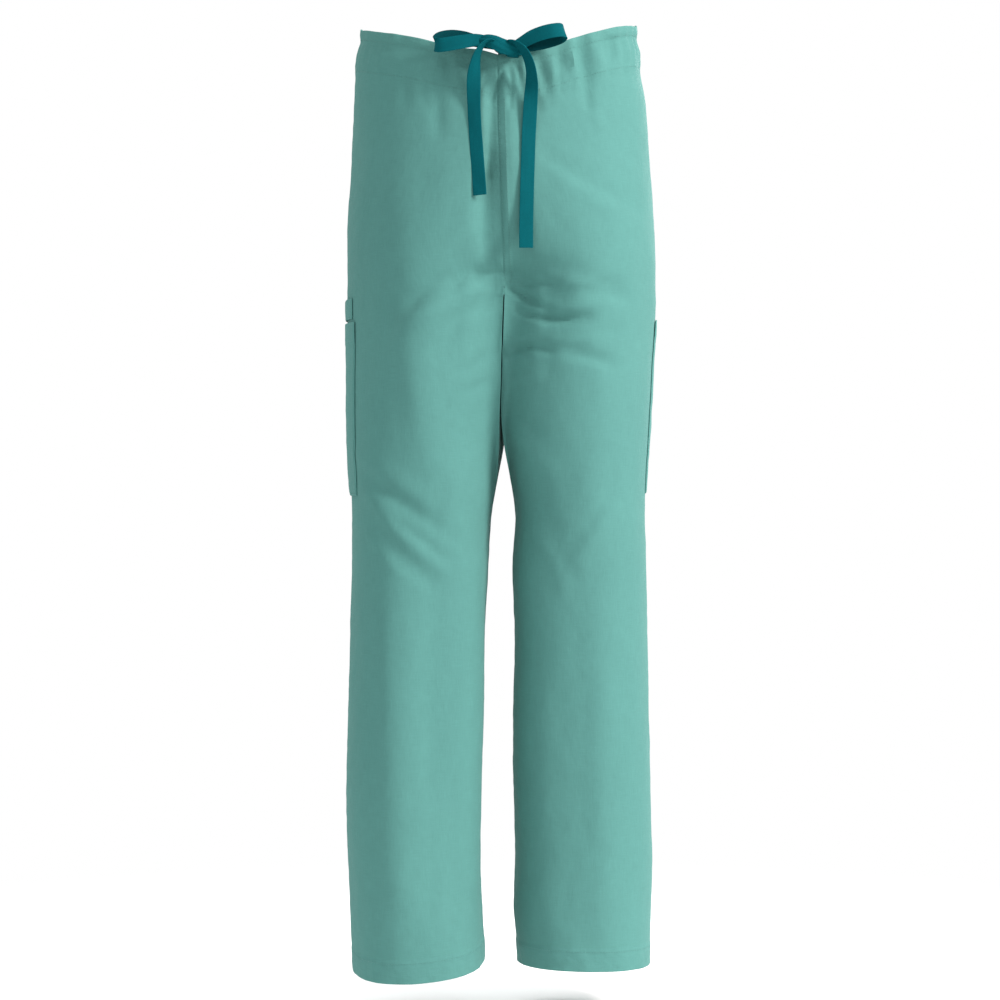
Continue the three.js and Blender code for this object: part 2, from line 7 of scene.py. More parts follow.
import bpy
import numpy as np
from bpy.props import FloatProperty, FloatVectorProperty, IntProperty, PointerProperty
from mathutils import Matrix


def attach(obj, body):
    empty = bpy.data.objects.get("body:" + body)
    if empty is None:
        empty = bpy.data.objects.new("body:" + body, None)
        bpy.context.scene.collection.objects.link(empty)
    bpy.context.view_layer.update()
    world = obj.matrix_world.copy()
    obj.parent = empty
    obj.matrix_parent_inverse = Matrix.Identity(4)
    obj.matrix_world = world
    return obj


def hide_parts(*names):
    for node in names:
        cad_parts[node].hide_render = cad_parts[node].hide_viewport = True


bl_info = {
    "name": "Drawstring Scrub Trousers",
    "version": (1, 0, 0),
    "blender": (4, 5, 0),
    "location": "3D View > Sidebar > Scrubs",
    "description": "Sews a pair of drawstring scrub trousers over its packed model",
    "category": "Object",
}

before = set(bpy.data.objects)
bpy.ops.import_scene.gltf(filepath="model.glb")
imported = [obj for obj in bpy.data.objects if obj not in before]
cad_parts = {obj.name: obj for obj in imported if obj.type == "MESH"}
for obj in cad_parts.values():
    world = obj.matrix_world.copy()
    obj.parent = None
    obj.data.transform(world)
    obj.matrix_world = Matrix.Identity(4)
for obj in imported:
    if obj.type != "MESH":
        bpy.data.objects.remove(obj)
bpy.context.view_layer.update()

MM = 0.001
RIGHT, LEFT = -1, 1
FRONT, BACK = -1, 1
SIDE_NAMES = {RIGHT: "right", LEFT: "left"}
FACE_NAMES = {FRONT: "front", BACK: "back"}

# Pattern


def table(columns, rows):
    """Rows of numbers under named columns."""
    return dict(zip(columns.split(), np.array(rows, float).T))


SEAM_GAP = 0.3
CASING_DEPTH = 50
CASING_WALL = 4.2
HEM_DEPTH = 25
TURNED_EDGE = 0.5
WAIST_TOP = 25
CROTCH = -284
HEM = -1067
DRAW_LINE, DRAW_PULL, DRAW_REACH = 8, 2, 8
CASING_FOOT = WAIST_TOP - CASING_DEPTH
HEADER_LINE = 14  # the row of stitches above the drawstring's tunnel
CASING_STITCH = CASING_FOOT + 2.5
CLOSED_GAP = 0.02  # between two panels that are sewn together
SEAM_EASE = 26  # how far from a seam the cloth is eased to meet its neighbour
SEAM_ALLOWANCE = 9
FELLED_WIDTH = 9.5
CENTRE_ROWS = (1.6, 8.2)  # the rows of stitches beside the centre front seam
LEG_RADIUS = 95  # turns an angle into a distance round the leg for the waves and puckers
HEM_STITCH = HEM + HEM_DEPTH - 2.5

SEAT = table("z outer_right outer_left front back seam parted web", [
    [60, 163, 157, 109, 106, -4, 0, 1],
    [25, 164.5, 158.5, 112, 109, -4, 0, 1],
    [0, 169, 162, 115, 113, -4, 0, 1],
    [-26, 172, 164, 118, 119, -4, 0, 1],
    [-60, 174, 171, 121, 129, -3.5, 0.02, 1],
    [-115, 177, 175, 125, 143, -2, 0.12, 0.993],
    [-150, 179, 178, 126, 148, -1, 0.25, 0.975],
    [-180, 181, 180, 126, 150, 0, 0.42, 0.955],
    [-210, 182, 182, 125, 150, 1.5, 0.62, 0.925],
    [-235, 182, 183, 123, 147, 2.5, 0.8, 0.87],
    [-255, 182, 183, 121, 143, 3, 0.92, 0.78],
    [-268, 182, 183, 119, 140, 3.2, 0.98, 0.66],
    [-277, 182, 183, 118, 138, 3.4, 1, 0.48],
    [-284, 182, 183, 117, 136, 3.5, 1, 0],
    [-330, 182, 182, 112, 126, 3.5, 1, 0],
])
WEB_SHARPNESS, WEB_REACH = 8, 0.6
# The share of their depth that the inner thighs, pressed together, keep beside the slit between them
THIGHS_PRESSED = table("z share", [
    [-230, 0.76], [-255, 0.765], [-268, 0.77], [-284, 0.77], [-310, 0.75], [-350, 0.69], [-400, 0.58], [-450, 0.42],
    [-500, 0.18], [-540, 0],
])
PRESSED_SHARPNESS = 5
SLIT_TOP, SLIT_EASE, SLIT_REACH = -268, 16, 0.09
LEGS = {
    RIGHT: table("z inner outer front back", [
        [-264, -3, 182, 120, 142],
        [-284, -3, 182, 117, 136],
        [-345, -2.9, 181.5, 113, 123],
        [-409, -2.9, 181, 110, 112],
        [-452, -1.2, 180, 109, 105],
        [-494, 4, 178, 108, 99],
        [-537, 11, 176, 108, 92],
        [-601, 15.5, 175.5, 109, 85],
        [-686, 20, 177, 110, 77],
        [-772, 21.3, 179, 112, 71],
        [-857, 23.5, 181, 116, 67],
        [-942, 24.5, 178.5, 120, 63],
        [-1006, 22, 176, 123, 59],
        [-1049, 20, 174, 125, 57],
        [-1100, 18, 172, 127, 56],
    ]),
    LEFT: table("z inner outer front back", [
        [-264, 4, 183, 120, 142],
        [-284, 4, 183, 117, 136],
        [-345, 4.1, 180, 110, 129],
        [-409, 4.1, 177, 103, 122],
        [-452, 6, 174.5, 98, 117],
        [-494, 11.5, 172, 94, 112],
        [-537, 17, 171, 91, 108],
        [-601, 13.5, 172.5, 88, 104],
        [-686, 16, 173.5, 85, 101],
        [-772, 14.5, 175, 83, 100],
        [-857, 14.7, 177.5, 82, 100],
        [-942, 17, 179.5, 82, 101],
        [-1006, 15.5, 178, 82, 102],
        [-1049, 19, 176.5, 82, 102],
        [-1100, 20, 175, 82, 102],
    ]),
}
SQUARENESS = table("z share", [
    [60, 0.02], [-100, 0.03], [-180, 0.02], [-230, -0.01], [-284, -0.05],
    [-360, -0.03], [-450, 0.005], [-550, 0.032], [-1100, 0.042],
])
THIGH_LEAN = table("z lean", [
    [-250, 0], [-284, 0], [-330, -0.02], [-380, -0.042], [-430, -0.074], [-470, -0.058], [-520, 0], [-1100, 0],
])
WAIST_EDGE = {"side": {RIGHT: 9, LEFT: 12}, "centre": {FRONT: -36, BACK: -10}, "fade_to": -170, "power": 1.2}
# The share of its dip that the front waist edge has reached, by the way round from side to centre
WAIST_DIP = table("z right left", [
    [0, 0, 0], [-0.2, 0.094, 0.042], [-0.377, 0.25, 0.167], [-0.51, 0.376, 0.333], [-0.63, 0.522, 0.51],
    [-0.74, 0.689, 0.73], [-0.84, 0.815, 0.865], [-0.92, 0.875, 0.925], [-1, 1, 1],
])
SIDE_EAR = {RIGHT: 3, LEFT: 4.5}  # the waist edge stands up at each side seam
EAR_RADIUS, EAR_REACH, EAR_EASE = 113, 13, 16
HEM_EDGE = {RIGHT: (6, -5, -10), LEFT: (0, -1.5, 2)}  # level, towards the outer side, at the front
HEM_EDGE_FROM = -900

# Folds by their line from start through middle to end, as seen from the front. A ridge stands out
# by its height and a trough has a height below 0. Steep is the share by which one flank is narrower.
FOLD_COLUMNS = "side x0 z0 x1 z1 x2 z2 width height steep"
FRONT_FOLDS = table(FOLD_COLUMNS, [
    [RIGHT, -111, -20, -112, -42, -111, -63, 8, -1.2, 0],
    [RIGHT, -73, -46, -73, -72, -72, -101, 8, -1.2, 0],
    [RIGHT, -62, -14, -61, -26, -60, -38, 6, -1.6, 0],
    [RIGHT, -8, -34, -9, -84, -16, -150, 8, -1.8, 0.2],
    [RIGHT, -14, -130, -20, -187, -17, -228, 13, -3.3, 0.2],
    [RIGHT, -4, -250, -46, -284, -103, -315, 17, 3, 0.2],
    [RIGHT, -37, -256, -69, -273, -97, -292, 12, -2, 0.2],
    [RIGHT, -162, -470, -122, -500, -84, -530, 11, 1.2, 0.2],
    [RIGHT, -150, -500, -103, -530, -60, -562, 11, -1.5, 0.3],
    [RIGHT, -152, -512, -118, -566, -72, -598, 11, 1.8, 0.2],
    [RIGHT, -128, -582, -97, -604, -71, -622, 11, -1, 0.2],
    [LEFT, 10, -36, 10, -130, 8, -225, 10, 1.4, 0.2],
    [LEFT, 87, 14, 92, -22, 101, -66, 7, -3.4, 0.3],
    [LEFT, 128, 12, 129, 0, 128, -10, 5, -1.6, 0],
    [LEFT, 44, -12, 46, -30, 51, -52, 6, -2.4, 0.2],
    [LEFT, 69, 2, 68, -12, 72, -26, 5, -2, 0],
    [LEFT, 56, -131, 103, -160, 153, -183, 11, -1.1, 0.3],
    [LEFT, 9, -272, 28, -290, 54, -302, 5.5, -3.4, 0.3],
    [LEFT, 20, -300, 58, -320, 99, -312, 6, -3.2, 0.3],
    [LEFT, 105, -283, 131, -282, 142, -288, 10, -2, 0.2],
    [LEFT, 7, -350, 32, -339, 55, -348, 6, -2.6, 0.3],
    [LEFT, 80, -354, 109, -356, 125, -364, 8, -2, 0.2],
    [LEFT, 13, -437, 32, -461, 51, -485, 10, 1.1, 0.2],
    [LEFT, 122, -532, 106, -559, 90, -586, 12, 2, 0.2],
])
BACK_FOLDS = table(FOLD_COLUMNS, [
    [RIGHT, -20, -262, -62, -287, -112, -298, 13, -2.4, 0.2],
    [RIGHT, -26, -292, -70, -312, -118, -318, 14, 2.2, 0.2],
    [RIGHT, -40, -560, -90, -585, -140, -580, 12, -2.4, 0.2],
    [RIGHT, -50, -604, -92, -622, -138, -612, 12, 2, 0.2],
    [LEFT, 22, -258, 66, -282, 116, -290, 13, -2.4, 0.2],
    [LEFT, 24, -294, 74, -316, 122, -316, 14, 2.2, 0.2],
    [LEFT, 38, -566, 92, -590, 136, -574, 12, -2, 0.2],
])
# Finer creases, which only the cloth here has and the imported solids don't, in the same columns
FRONT_CREASES = table(FOLD_COLUMNS, [
    [RIGHT, -14, -30, -18, -40, -24, -52, 3.4, -1, 0.2],
    [RIGHT, -20, -20, -24, -52, -22, -92, 5, 0.9, 0.2],
    [RIGHT, -36, -24, -37, -46, -34, -70, 5, -0.7, 0],
    [RIGHT, -88, -24, -90, -48, -86, -72, 6, -0.6, 0],
    [RIGHT, -128, -22, -130, -44, -131, -70, 6, -0.6, 0],
    [RIGHT, -8, -252, -30, -268, -60, -276, 6, -0.9, 0.3],
    [RIGHT, -10, -300, -34, -316, -66, -330, 9, 0.9, 0.2],
    [RIGHT, -18, -381, -29, -388, -42, -397, 6, -0.9, 0.2],
    [RIGHT, -12, -345, -26, -362, -46, -372, 7, -0.7, 0.2],
    [RIGHT, -10, -226, -62, -262, -118, -338, 14, 2, 0.4],
    [RIGHT, -100, -318, -98, -396, -88, -470, 24, 1.9, 0.2],
    [RIGHT, -20, -222, -74, -262, -128, -296, 12, -1.3, 0.3],
    [RIGHT, -10, -268, -40, -306, -78, -352, 10, -1, 0.3],
    [RIGHT, -30, -470, -52, -500, -66, -540, 9, 0.8, 0.2],
    [RIGHT, -118, -548, -92, -566, -64, -590, 6, -1.1, 0.3],
    [RIGHT, -152, -560, -130, -592, -110, -606, 8, 0.8, 0.2],
    [RIGHT, -132, -600, -124, -760, -122, -960, 19, 2, 0.2],
    [RIGHT, -74, -600, -78, -760, -72, -980, 25, -3, 0.2],
    [RIGHT, -33, -600, -38, -760, -34, -960, 15, 2.3, 0.1],
    [RIGHT, -118, -930, -116, -980, -118, -1040, 18, 1.2, 0.1],
    [RIGHT, -50, -960, -58, -1000, -56, -1042, 9, -0.6, 0.1],
    [LEFT, 2, -30, -6, -46, -14, -66, 3.4, -1, 0.3],
    [LEFT, 10, -28, 12, -46, 10, -72, 3.4, -1.2, 0.2],
    [LEFT, 18, -24, 24, -40, 26, -62, 3.4, -1.1, 0.2],
    [LEFT, 30, -22, 38, -42, 42, -74, 4, -1.3, 0.3],
    [LEFT, 62, 0, 66, -24, 66, -52, 3.6, -1.2, 0.3],
    [LEFT, 96, 12, 99, -12, 104, -44, 4, -1.3, 0.3],
    [LEFT, 118, 16, 120, -2, 124, -28, 4, -1.1, 0.3],
    [LEFT, 24, -18, 28, -44, 26, -80, 5, 0.9, 0.2],
    [LEFT, 57, -10, 60, -34, 64, -62, 5, 0.9, 0.2],
    [LEFT, 80, 4, 82, -20, 88, -44, 4, 0.9, 0.2],
    [LEFT, 110, 8, 112, -10, 118, -30, 5, 0.8, 0],
    [LEFT, 138, 12, 140, -14, 142, -40, 5, -0.7, 0],
    [LEFT, 96, -30, 104, -58, 112, -92, 6, 0.9, 0.2],
    [LEFT, 60, -148, 104, -178, 150, -202, 12, 0.4, 0.2],
    [LEFT, 10, -262, 32, -272, 56, -288, 6, -0.9, 0.3],
    [LEFT, 48, -252, 96, -262, 140, -276, 9, -0.9, 0.3],
    [LEFT, 14, -262, 40, -276, 66, -270, 5, -1.1, 0.3],
    [LEFT, 46, -262, 78, -282, 120, -262, 8, 1.2, 0.3],
    [LEFT, 30, -300, 66, -306, 104, -296, 7, 1.1, 0.3],
    [LEFT, 60, -336, 88, -340, 124, -334, 7, 0.9, 0.2],
    [LEFT, 117, -338, 128, -331, 138, -322, 7, -1.2, 0.2],
    [LEFT, 10, -382, 26, -374, 44, -380, 8, 0.7, 0.2],
    [LEFT, 20, -420, 30, -432, 40, -442, 6, -0.9, 0.2],
    [LEFT, 130, -500, 114, -526, 104, -552, 7, -0.8, 0.2],
    [LEFT, 40, -560, 62, -586, 70, -620, 10, 0.6, 0.2],
    [LEFT, 112, -650, 120, -800, 118, -1030, 20, 1.4, 0.2],
    [LEFT, 68, -600, 78, -780, 76, -1000, 24, -0.7, 0.2],
    [LEFT, 118, -372, 110, -480, 90, -584, 24, 1, 0.2],
])
BACK_CREASES = table(FOLD_COLUMNS, [
    [RIGHT, -12, -226, -40, -248, -86, -262, 9, -1, 0.2],
    [RIGHT, -16, -330, -50, -344, -90, -346, 9, -1.2, 0.2],
    [RIGHT, -30, -366, -60, -380, -96, -378, 10, 1, 0.2],
    [RIGHT, -52, -530, -94, -552, -134, -548, 8, 1.1, 0.2],
    [RIGHT, -44, -586, -88, -606, -130, -600, 7, -1.3, 0.3],
    [RIGHT, -70, -120, -84, -170, -82, -228, 18, 0.9, 0.1],
    [RIGHT, -60, -660, -74, -760, -70, -860, 16, 0.9, 0.1],
    [RIGHT, -128, -700, -122, -800, -130, -900, 16, -0.8, 0.1],
    [LEFT, 16, -224, 46, -244, 92, -256, 9, -1, 0.2],
    [LEFT, 18, -328, 56, -346, 98, -344, 9, -1.2, 0.2],
    [LEFT, 34, -362, 66, -378, 102, -380, 10, 1, 0.2],
    [LEFT, 46, -536, 90, -560, 132, -546, 8, 1.1, 0.2],
    [LEFT, 42, -596, 90, -614, 134, -600, 7, -1.3, 0.3],
    [LEFT, 76, -124, 86, -172, 84, -230, 18, 0.9, 0.1],
    [LEFT, 66, -660, 72, -760, 66, -860, 16, 0.9, 0.1],
    [LEFT, 126, -700, 132, -800, 124, -900, 16, -0.8, 0.1],
])
FOLD_END_SHARE = 0.55
FOLD_GAIN = {FRONT: 2.3, BACK: 2.5}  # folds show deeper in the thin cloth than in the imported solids
FULLNESS = {FRONT: 5, BACK: 3}  # the inner thighs swell towards each other
FULL_ANGLE, FULL_SPREAD, FULL_LEVEL, FULL_REACH = 2.2, 0.42, -335, 85
FOLD_STEPS = 12
# Soft waves that run down the legs, and shorter ones across the knees and below the seat. Each has its
# height, its width and slant round the leg, its length and slant down it, its shift by side and its seed.
WAVES = (
    (0.9, 46, math.inf, 230, math.inf, 11, 3), (0.45, 25, 90, 75, -160, 5, 9), (0.28, 13, -40, 26, math.inf, 8, 21),
)

GATHERS = {"spacing": 19, "unevenness": 0.6, "width": 5.5, "height": 2.4, "above": 26, "below": 34, "radius": 150}
GATHERED = {FRONT: {RIGHT: 0.3, LEFT: 0.85}, BACK: {RIGHT: 0.95, LEFT: 0.95}}
# How far sewing raises the cloth or draws it in
SEWN = {"tunnel": 0.9, "header": 1.3, "header_pucker": 1.5, "row_pucker": 0.35, "row_pull": 0.15, "roping": 0.4,
        "seam_pull": 0.55, "seam_allowance": 0.22, "seam_pucker": 0.3, "felled": 0.35}

# Patches over the side seams: their edges in mm and degrees, their cloth, their hem and how it leans
PATCH_LIFT, PATCH_INSET, PATCH_CLOTH = 0.7, 2.6, 0.9
POCKET = {"wall": 1.3, "bulge": 1.6, "hem": 24, "step": 0.6, "slant": 3, "edge": 2.2}
POCKETS = {RIGHT: {"top": -312, "foot": -515, "from": -28, "to": 64, **POCKET},
           LEFT: {"top": -307, "foot": -512, "from": -10, "to": 80, **POCKET}}
TOOL_LOOP = {"top": -284, "foot": -308, "from": -22, "to": 24,
             "wall": 1.2, "bulge": 0.8, "hem": 0, "step": 0, "slant": 0, "edge": 1.4}

TAPE_WIDTH, TAPE_THICK = 16, 1.2
KNOT = {"x": 8, "y": -125.5, "z": -6.7, "half_width": 16, "half_depth": 8.5, "half_height": 8.4}
LOOPS = {
    RIGHT: table("x y z lean pinch", [
        [-2, -128, -4, 0, 0.6],
        [-8, -128.5, -1, -6, 0.66],
        [-16, -131.5, 1.4, -7, 0.76],
        [-28, -135.5, 2, -8, 0.9],
        [-42, -138.5, 0, -9, 0.97],
        [-58, -138.5, -2.6, -9, 1],
        [-70.5, -135.5, -3.6, -6, 1],
        [-75, -129.5, -1.5, 2, 1],
        [-70.5, -125, 4.6, 12, 1],
        [-57, -121.8, 8, 16, 1],
        [-43, -121.3, 7, 12, 0.96],
        [-30, -121.8, 3.6, 6, 0.88],
        [-18, -122.6, 0.6, 2, 0.74],
        [-8, -123.6, -2, 0, 0.6],
        [-2, -124, -4, 0, 0.56],
    ]),
    LEFT: table("x y z lean pinch", [
        [14, -128, -5, -8, 0.7],
        [23, -130, -0.6, -14, 0.86],
        [35, -134, 5.8, -20, 0.97],
        [48, -138, 10, -21, 1],
        [60, -139.5, 12.4, -19, 1],
        [68.5, -136.5, 13.4, -17, 1],
        [72, -131, 12, -17, 1],
        [69, -125.5, 8.6, -17, 1],
        [60, -122, 5.2, -19, 1],
        [48, -121, 1.5, -20, 0.94],
        [36, -122, -2, -18, 0.8],
        [23.9, -124, -4.5, -16, 0.6],
        [16, -125, -5.5, -12, 0.56],
    ]),
}
ENDS = {
    RIGHT: table("x y z turn", [
        [-9, -136.5, 0.5, -80],
        [-13.4, -140.6, 0.4, -80],
        [-18.3, -142.2, -2, -78],
        [-23.4, -141.4, -7.5, -74],
        [-27.3, -138, -15, -64],
        [-29.8, -132.5, -25, -44],
        [-31, -127, -38, -14],
        [-31.2, -124, -54, 10],
        [-30.8, -123, -72, 24],
        [-29.4, -124.6, -98, 23],
        [-27.4, -127, -126, 21],
        [-25.4, -128, -152, 20],
        [-24, -128.2, -173, 20],
    ]),
    LEFT: table("x y z turn", [
        [6, -132, -1.6, 70],
        [11, -138, -1.4, 66],
        [16.6, -141.4, -3.8, 62],
        [22.2, -143, -8, 60],
        [27.6, -142.6, -14, 60],
        [31.8, -139.4, -23, 54],
        [34.4, -134.4, -34, 46],
        [35, -129, -46, 28],
        [34, -126, -61, 12],
        [32.9, -124.4, -80, -2],
        [31.5, -124.6, -105, -8],
        [30.3, -127.2, -140, -9],
        [29.3, -128, -175, -8],
        [28.6, -128, -208, -6],
        [28.5, -127.4, -233, -6],
    ]),
}
KNOT_WRAP = table("x y z width", [
    [-24, -131.5, 2.2, 12], [-16, -135.6, 1.6, 14.5], [-8, -138.2, -0.8, 16], [0, -139.2, -4.4, 16.5],
    [8, -139.2, -7.2, 16.5], [15, -138, -8.4, 15], [22, -134.5, -8.4, 12], [28, -130, -7.6, 9],
])

# Cloth surface


def clamp01(x):
    return np.clip(x, 0, 1)


def smooth(x):
    x = clamp01(x)
    return x * x * (3 - 2 * x)


def bell(x):
    return np.exp(-x * x)


def mix(a, b, share):
    return a + (b - a) * share


def at(rows, column, z):
    """A column of a table at heights z, on a smooth curve through its rows."""
    zs, values = rows["z"], rows[column]
    last = len(zs) - 1
    slopes = np.array([
        (values[min(last, k + 1)] - values[max(0, k - 1)]) / (zs[min(last, k + 1)] - zs[max(0, k - 1)])
        for k in range(last + 1)
    ])
    z = np.asarray(z, float)
    i = np.clip(np.searchsorted(-zs, -z, side="right") - 1, 0, last - 1)
    step = zs[i + 1] - zs[i]
    t = clamp01((z - zs[i]) / step)
    return (values[i] * (2 * t ** 3 - 3 * t ** 2 + 1) + slopes[i] * step * (t ** 3 - 2 * t ** 2 + t)
            + values[i + 1] * (3 * t ** 2 - 2 * t ** 3) + slopes[i + 1] * step * (t ** 3 - t ** 2))


def oval(side, z):
    """The oval of one side at heights z. Its x values are distances from the centre seam."""
    z = np.asarray(z, float)
    high = z > CROTCH
    seam = at(SEAT, "seam", z)
    front = np.where(high, at(SEAT, "front", z), at(LEGS[side], "front", z))
    back = np.where(high, at(SEAT, "back", z), at(LEGS[side], "back", z))
    parted = clamp01(at(SEAT, "parted", z))
    outer = at(SEAT, "outer_right" if side == RIGHT else "outer_left", z) - side * seam
    inner_leg = at(LEGS[side], "inner", z) - side * seam
    outer_leg = at(LEGS[side], "outer", z) - side * seam
    seat_half = outer / (1 + parted)
    kept = clamp01(at(SEAT, "web", z)) ** WEB_SHARPNESS - (1 - parted ** 2) ** (WEB_SHARPNESS / 2)
    web = np.where(high & (kept > 0), kept / np.maximum(smooth(parted / WEB_REACH), 1e-9), 0)
    return {
        "z": z, "seam": seam, "web": web,
        "middle_y": (back - front) / 2, "half_depth": (back + front) / 2,
        "half_width": np.where(high, seat_half, (outer_leg - inner_leg) / 2),
        "middle_x": np.where(high, parted * seat_half, (outer_leg + inner_leg) / 2),
        "square": at(SQUARENESS, "share", z), "lean": at(THIGH_LEAN, "lean", z),
    }


def from_seam(shape, angle):
    """How far from the centre seam points of an oval are. Angle 0 is the outer side, below 0 the front."""
    return shape["middle_x"] + shape["half_width"] * (1 + shape["square"] * np.sin(2 * angle) ** 2) * np.cos(angle)


def on_oval(side, shape, angle):
    """Points of an oval, as x and y."""
    reach = 1 + shape["square"] * np.sin(2 * angle) ** 2
    share = np.sin(angle)
    web = np.where(np.cos(angle) < 0, shape["web"] * smooth(-np.cos(angle) / WEB_REACH), 0)
    webbed = np.sign(angle) * (np.abs(share) ** WEB_SHARPNESS + web) ** (1 / WEB_SHARPNESS)
    share = np.where(web > 0, webbed, share)
    z = shape["z"]
    open_slit = smooth((SLIT_TOP - z) / SLIT_EASE)
    closing = 1 - (1 - smooth((math.pi - np.abs(angle)) / SLIT_REACH)) * open_slit
    kept = clamp01(at(THIGHS_PRESSED, "share", z)) * smooth(-np.cos(angle) / WEB_REACH) * closing
    filled = np.maximum(0, kept ** PRESSED_SHARPNESS - web ** (PRESSED_SHARPNESS / WEB_SHARPNESS))
    share = np.sign(angle) * (np.abs(share) ** PRESSED_SHARPNESS + filled) ** (1 / PRESSED_SHARPNESS)
    y = shape["middle_y"] + shape["half_depth"] * reach * share
    inwards = (1 - np.cos(angle)) / 2
    x = shape["seam"] + side * from_seam(shape, angle) - shape["lean"] * (y - shape["middle_y"]) * inwards
    return x, y


def angle_off_seam(shape, reach, least, rounds):
    """The angle at which an oval is that far from the centre seam, found by halving."""
    low, high = np.full_like(shape["z"], least), np.full_like(shape["z"], math.pi)
    for _ in range(rounds):
        angle = (low + high) / 2
        outside = from_seam(shape, angle) > reach
        low, high = np.where(outside, angle, low), np.where(outside, high, angle)
    return low


def seam_angle(shape):
    """The angle at which a panel meets the centre seam or the inseam, half a seam gap short of it."""
    inseam = math.pi - SEAM_GAP / 2 / shape["half_depth"]
    return np.where(shape["z"] <= CROTCH, inseam, angle_off_seam(shape, SEAM_GAP / 2, 0, 40))


def real_height(side, level, angle):
    """The real height of points of level rows: the waist edge dips and the hems lean."""
    share = np.minimum(1, np.abs(angle) / (math.pi / 2))
    share = np.where(angle < 0, at(WAIST_DIP, SIDE_NAMES[side], -share), share ** WAIST_EDGE["power"])
    centre = np.where(angle < 0, WAIST_EDGE["centre"][FRONT], WAIST_EDGE["centre"][BACK])
    waist = smooth((level - WAIST_EDGE["fade_to"]) / (CASING_FOOT - WAIST_EDGE["fade_to"]))
    edge, outwards, front = HEM_EDGE[side]
    hem = smooth((HEM_EDGE_FROM - level) / (HEM_EDGE_FROM - HEM - HEM_DEPTH))
    lean = edge + outwards * np.cos(angle) + front * np.maximum(0, -np.sin(angle))
    ear = SIDE_EAR[side] * bell(angle * EAR_RADIUS / EAR_REACH) * smooth((level - DRAW_LINE) / EAR_EASE)
    return level + mix(WAIST_EDGE["side"][side], centre, share) * waist + lean * hem + ear


def plain_point(side, level, angle):
    """Points of the plain surface, before folds."""
    x, y = on_oval(side, oval(side, level), angle)
    return np.stack([x, y, real_height(side, level, angle)], -1)


def unit(v):
    return v / np.maximum(np.linalg.norm(v, axis=-1, keepdims=True), 1e-12)


def way_out(side, face, level, angle):
    """The way out of the plain surface."""
    here = plain_point(side, level, angle)
    across = plain_point(side, level, angle - 0.02 * face) - here
    down = plain_point(side, level - 1, angle) - plain_point(side, level + 1, angle)
    return unit(np.cross(across, down) * side * face)


def fold_height(folds, side, x, z):
    """How far folds move the cloth, on points seen from the front."""
    total = np.zeros_like(x)
    for k in range(len(folds["side"])):
        fold = {name: values[k] for name, values in folds.items()}
        t = np.linspace(0, 1, FOLD_STEPS + 1)
        bx = (1 - t) ** 2 * fold["x0"] + 2 * t * (1 - t) * fold["x1"] + t ** 2 * fold["x2"]
        bz = (1 - t) ** 2 * fold["z0"] + 2 * t * (1 - t) * fold["z1"] + t ** 2 * fold["z2"]
        reach = 3 * fold["width"]
        near = ((x > bx.min() - reach) & (x < bx.max() + reach) & (z > bz.min() - reach) & (z < bz.max() + reach))
        if not near.any():
            continue
        px, pz = x[near], z[near]
        best = np.full(px.shape, 1e9)
        place, which = np.zeros_like(px), np.zeros_like(px)
        for i in range(FOLD_STEPS):
            dx, dz = bx[i + 1] - bx[i], bz[i + 1] - bz[i]
            s = clamp01(((px - bx[i]) * dx + (pz - bz[i]) * dz) / (dx * dx + dz * dz))
            far_x, far_z = px - bx[i] - s * dx, pz - bz[i] - s * dz
            far = np.hypot(far_x, far_z)
            closer = far < best
            best = np.where(closer, far, best)
            place = np.where(closer, (i + s) / FOLD_STEPS, place)
            which = np.where(closer, (dx * far_z - dz * far_x) / (math.hypot(dx, dz) * np.maximum(far, 1e-6)), which)
        width = fold["width"] * (1 + fold["steep"] * which)
        own = np.where(fold["side"] == side, 1, smooth((pz - CROTCH - 15) / 40))
        total[near] += own * fold["height"] * bell(best / width) * mix(FOLD_END_SHARE, 1, np.sin(math.pi * place))
    return total


def uneven(n):
    """Numbers from 0 to 1 that look random and are the same each time for the same seeds."""
    x = np.sin(np.asarray(n, float) * 12.9898 + 4.1414) * 43758.5453
    return x - np.floor(x)


def gather_height(side, face, around, level):
    """The gathers that the drawstring makes, by distance round the waist from the centre seam."""
    first = np.floor(around / GATHERS["spacing"]) - 2
    total = np.zeros_like(around)
    for k in range(5):
        i = first + k
        seed = i + 100 * (side + 2) + 1000 * (face + 2)
        centre = GATHERS["spacing"] * (i + 0.5 + GATHERS["unevenness"] * (uneven(seed) - 0.5))
        tall = 0.35 + 0.65 * uneven(seed + 7)
        up = np.where(level > DRAW_LINE, GATHERS["above"], GATHERS["below"] * (0.5 + uneven(seed + 3)))
        ridge = tall * bell((around - centre) / GATHERS["width"]) * bell((level - DRAW_LINE) / up)
        total += np.where(i >= 0, ridge, 0)
    return total * GATHERED[face][side] * GATHERS["height"]


def drift(points, seed):
    """Smooth noise from -1 to 1 at points whose cells are one unit wide."""
    cell = np.floor(points)
    part = smooth(points - cell)
    total = 0
    for corner in np.ndindex(*(2,) * points.shape[-1]):
        place = cell + np.array(corner)
        value = uneven(place @ np.array([1.37, 57.31, 113.77][:points.shape[-1]]) + 7.13 * seed)
        weight = np.prod(np.where(np.array(corner) == 1, part, 1 - part), -1)
        total = total + weight * (2 * value - 1)
    return total


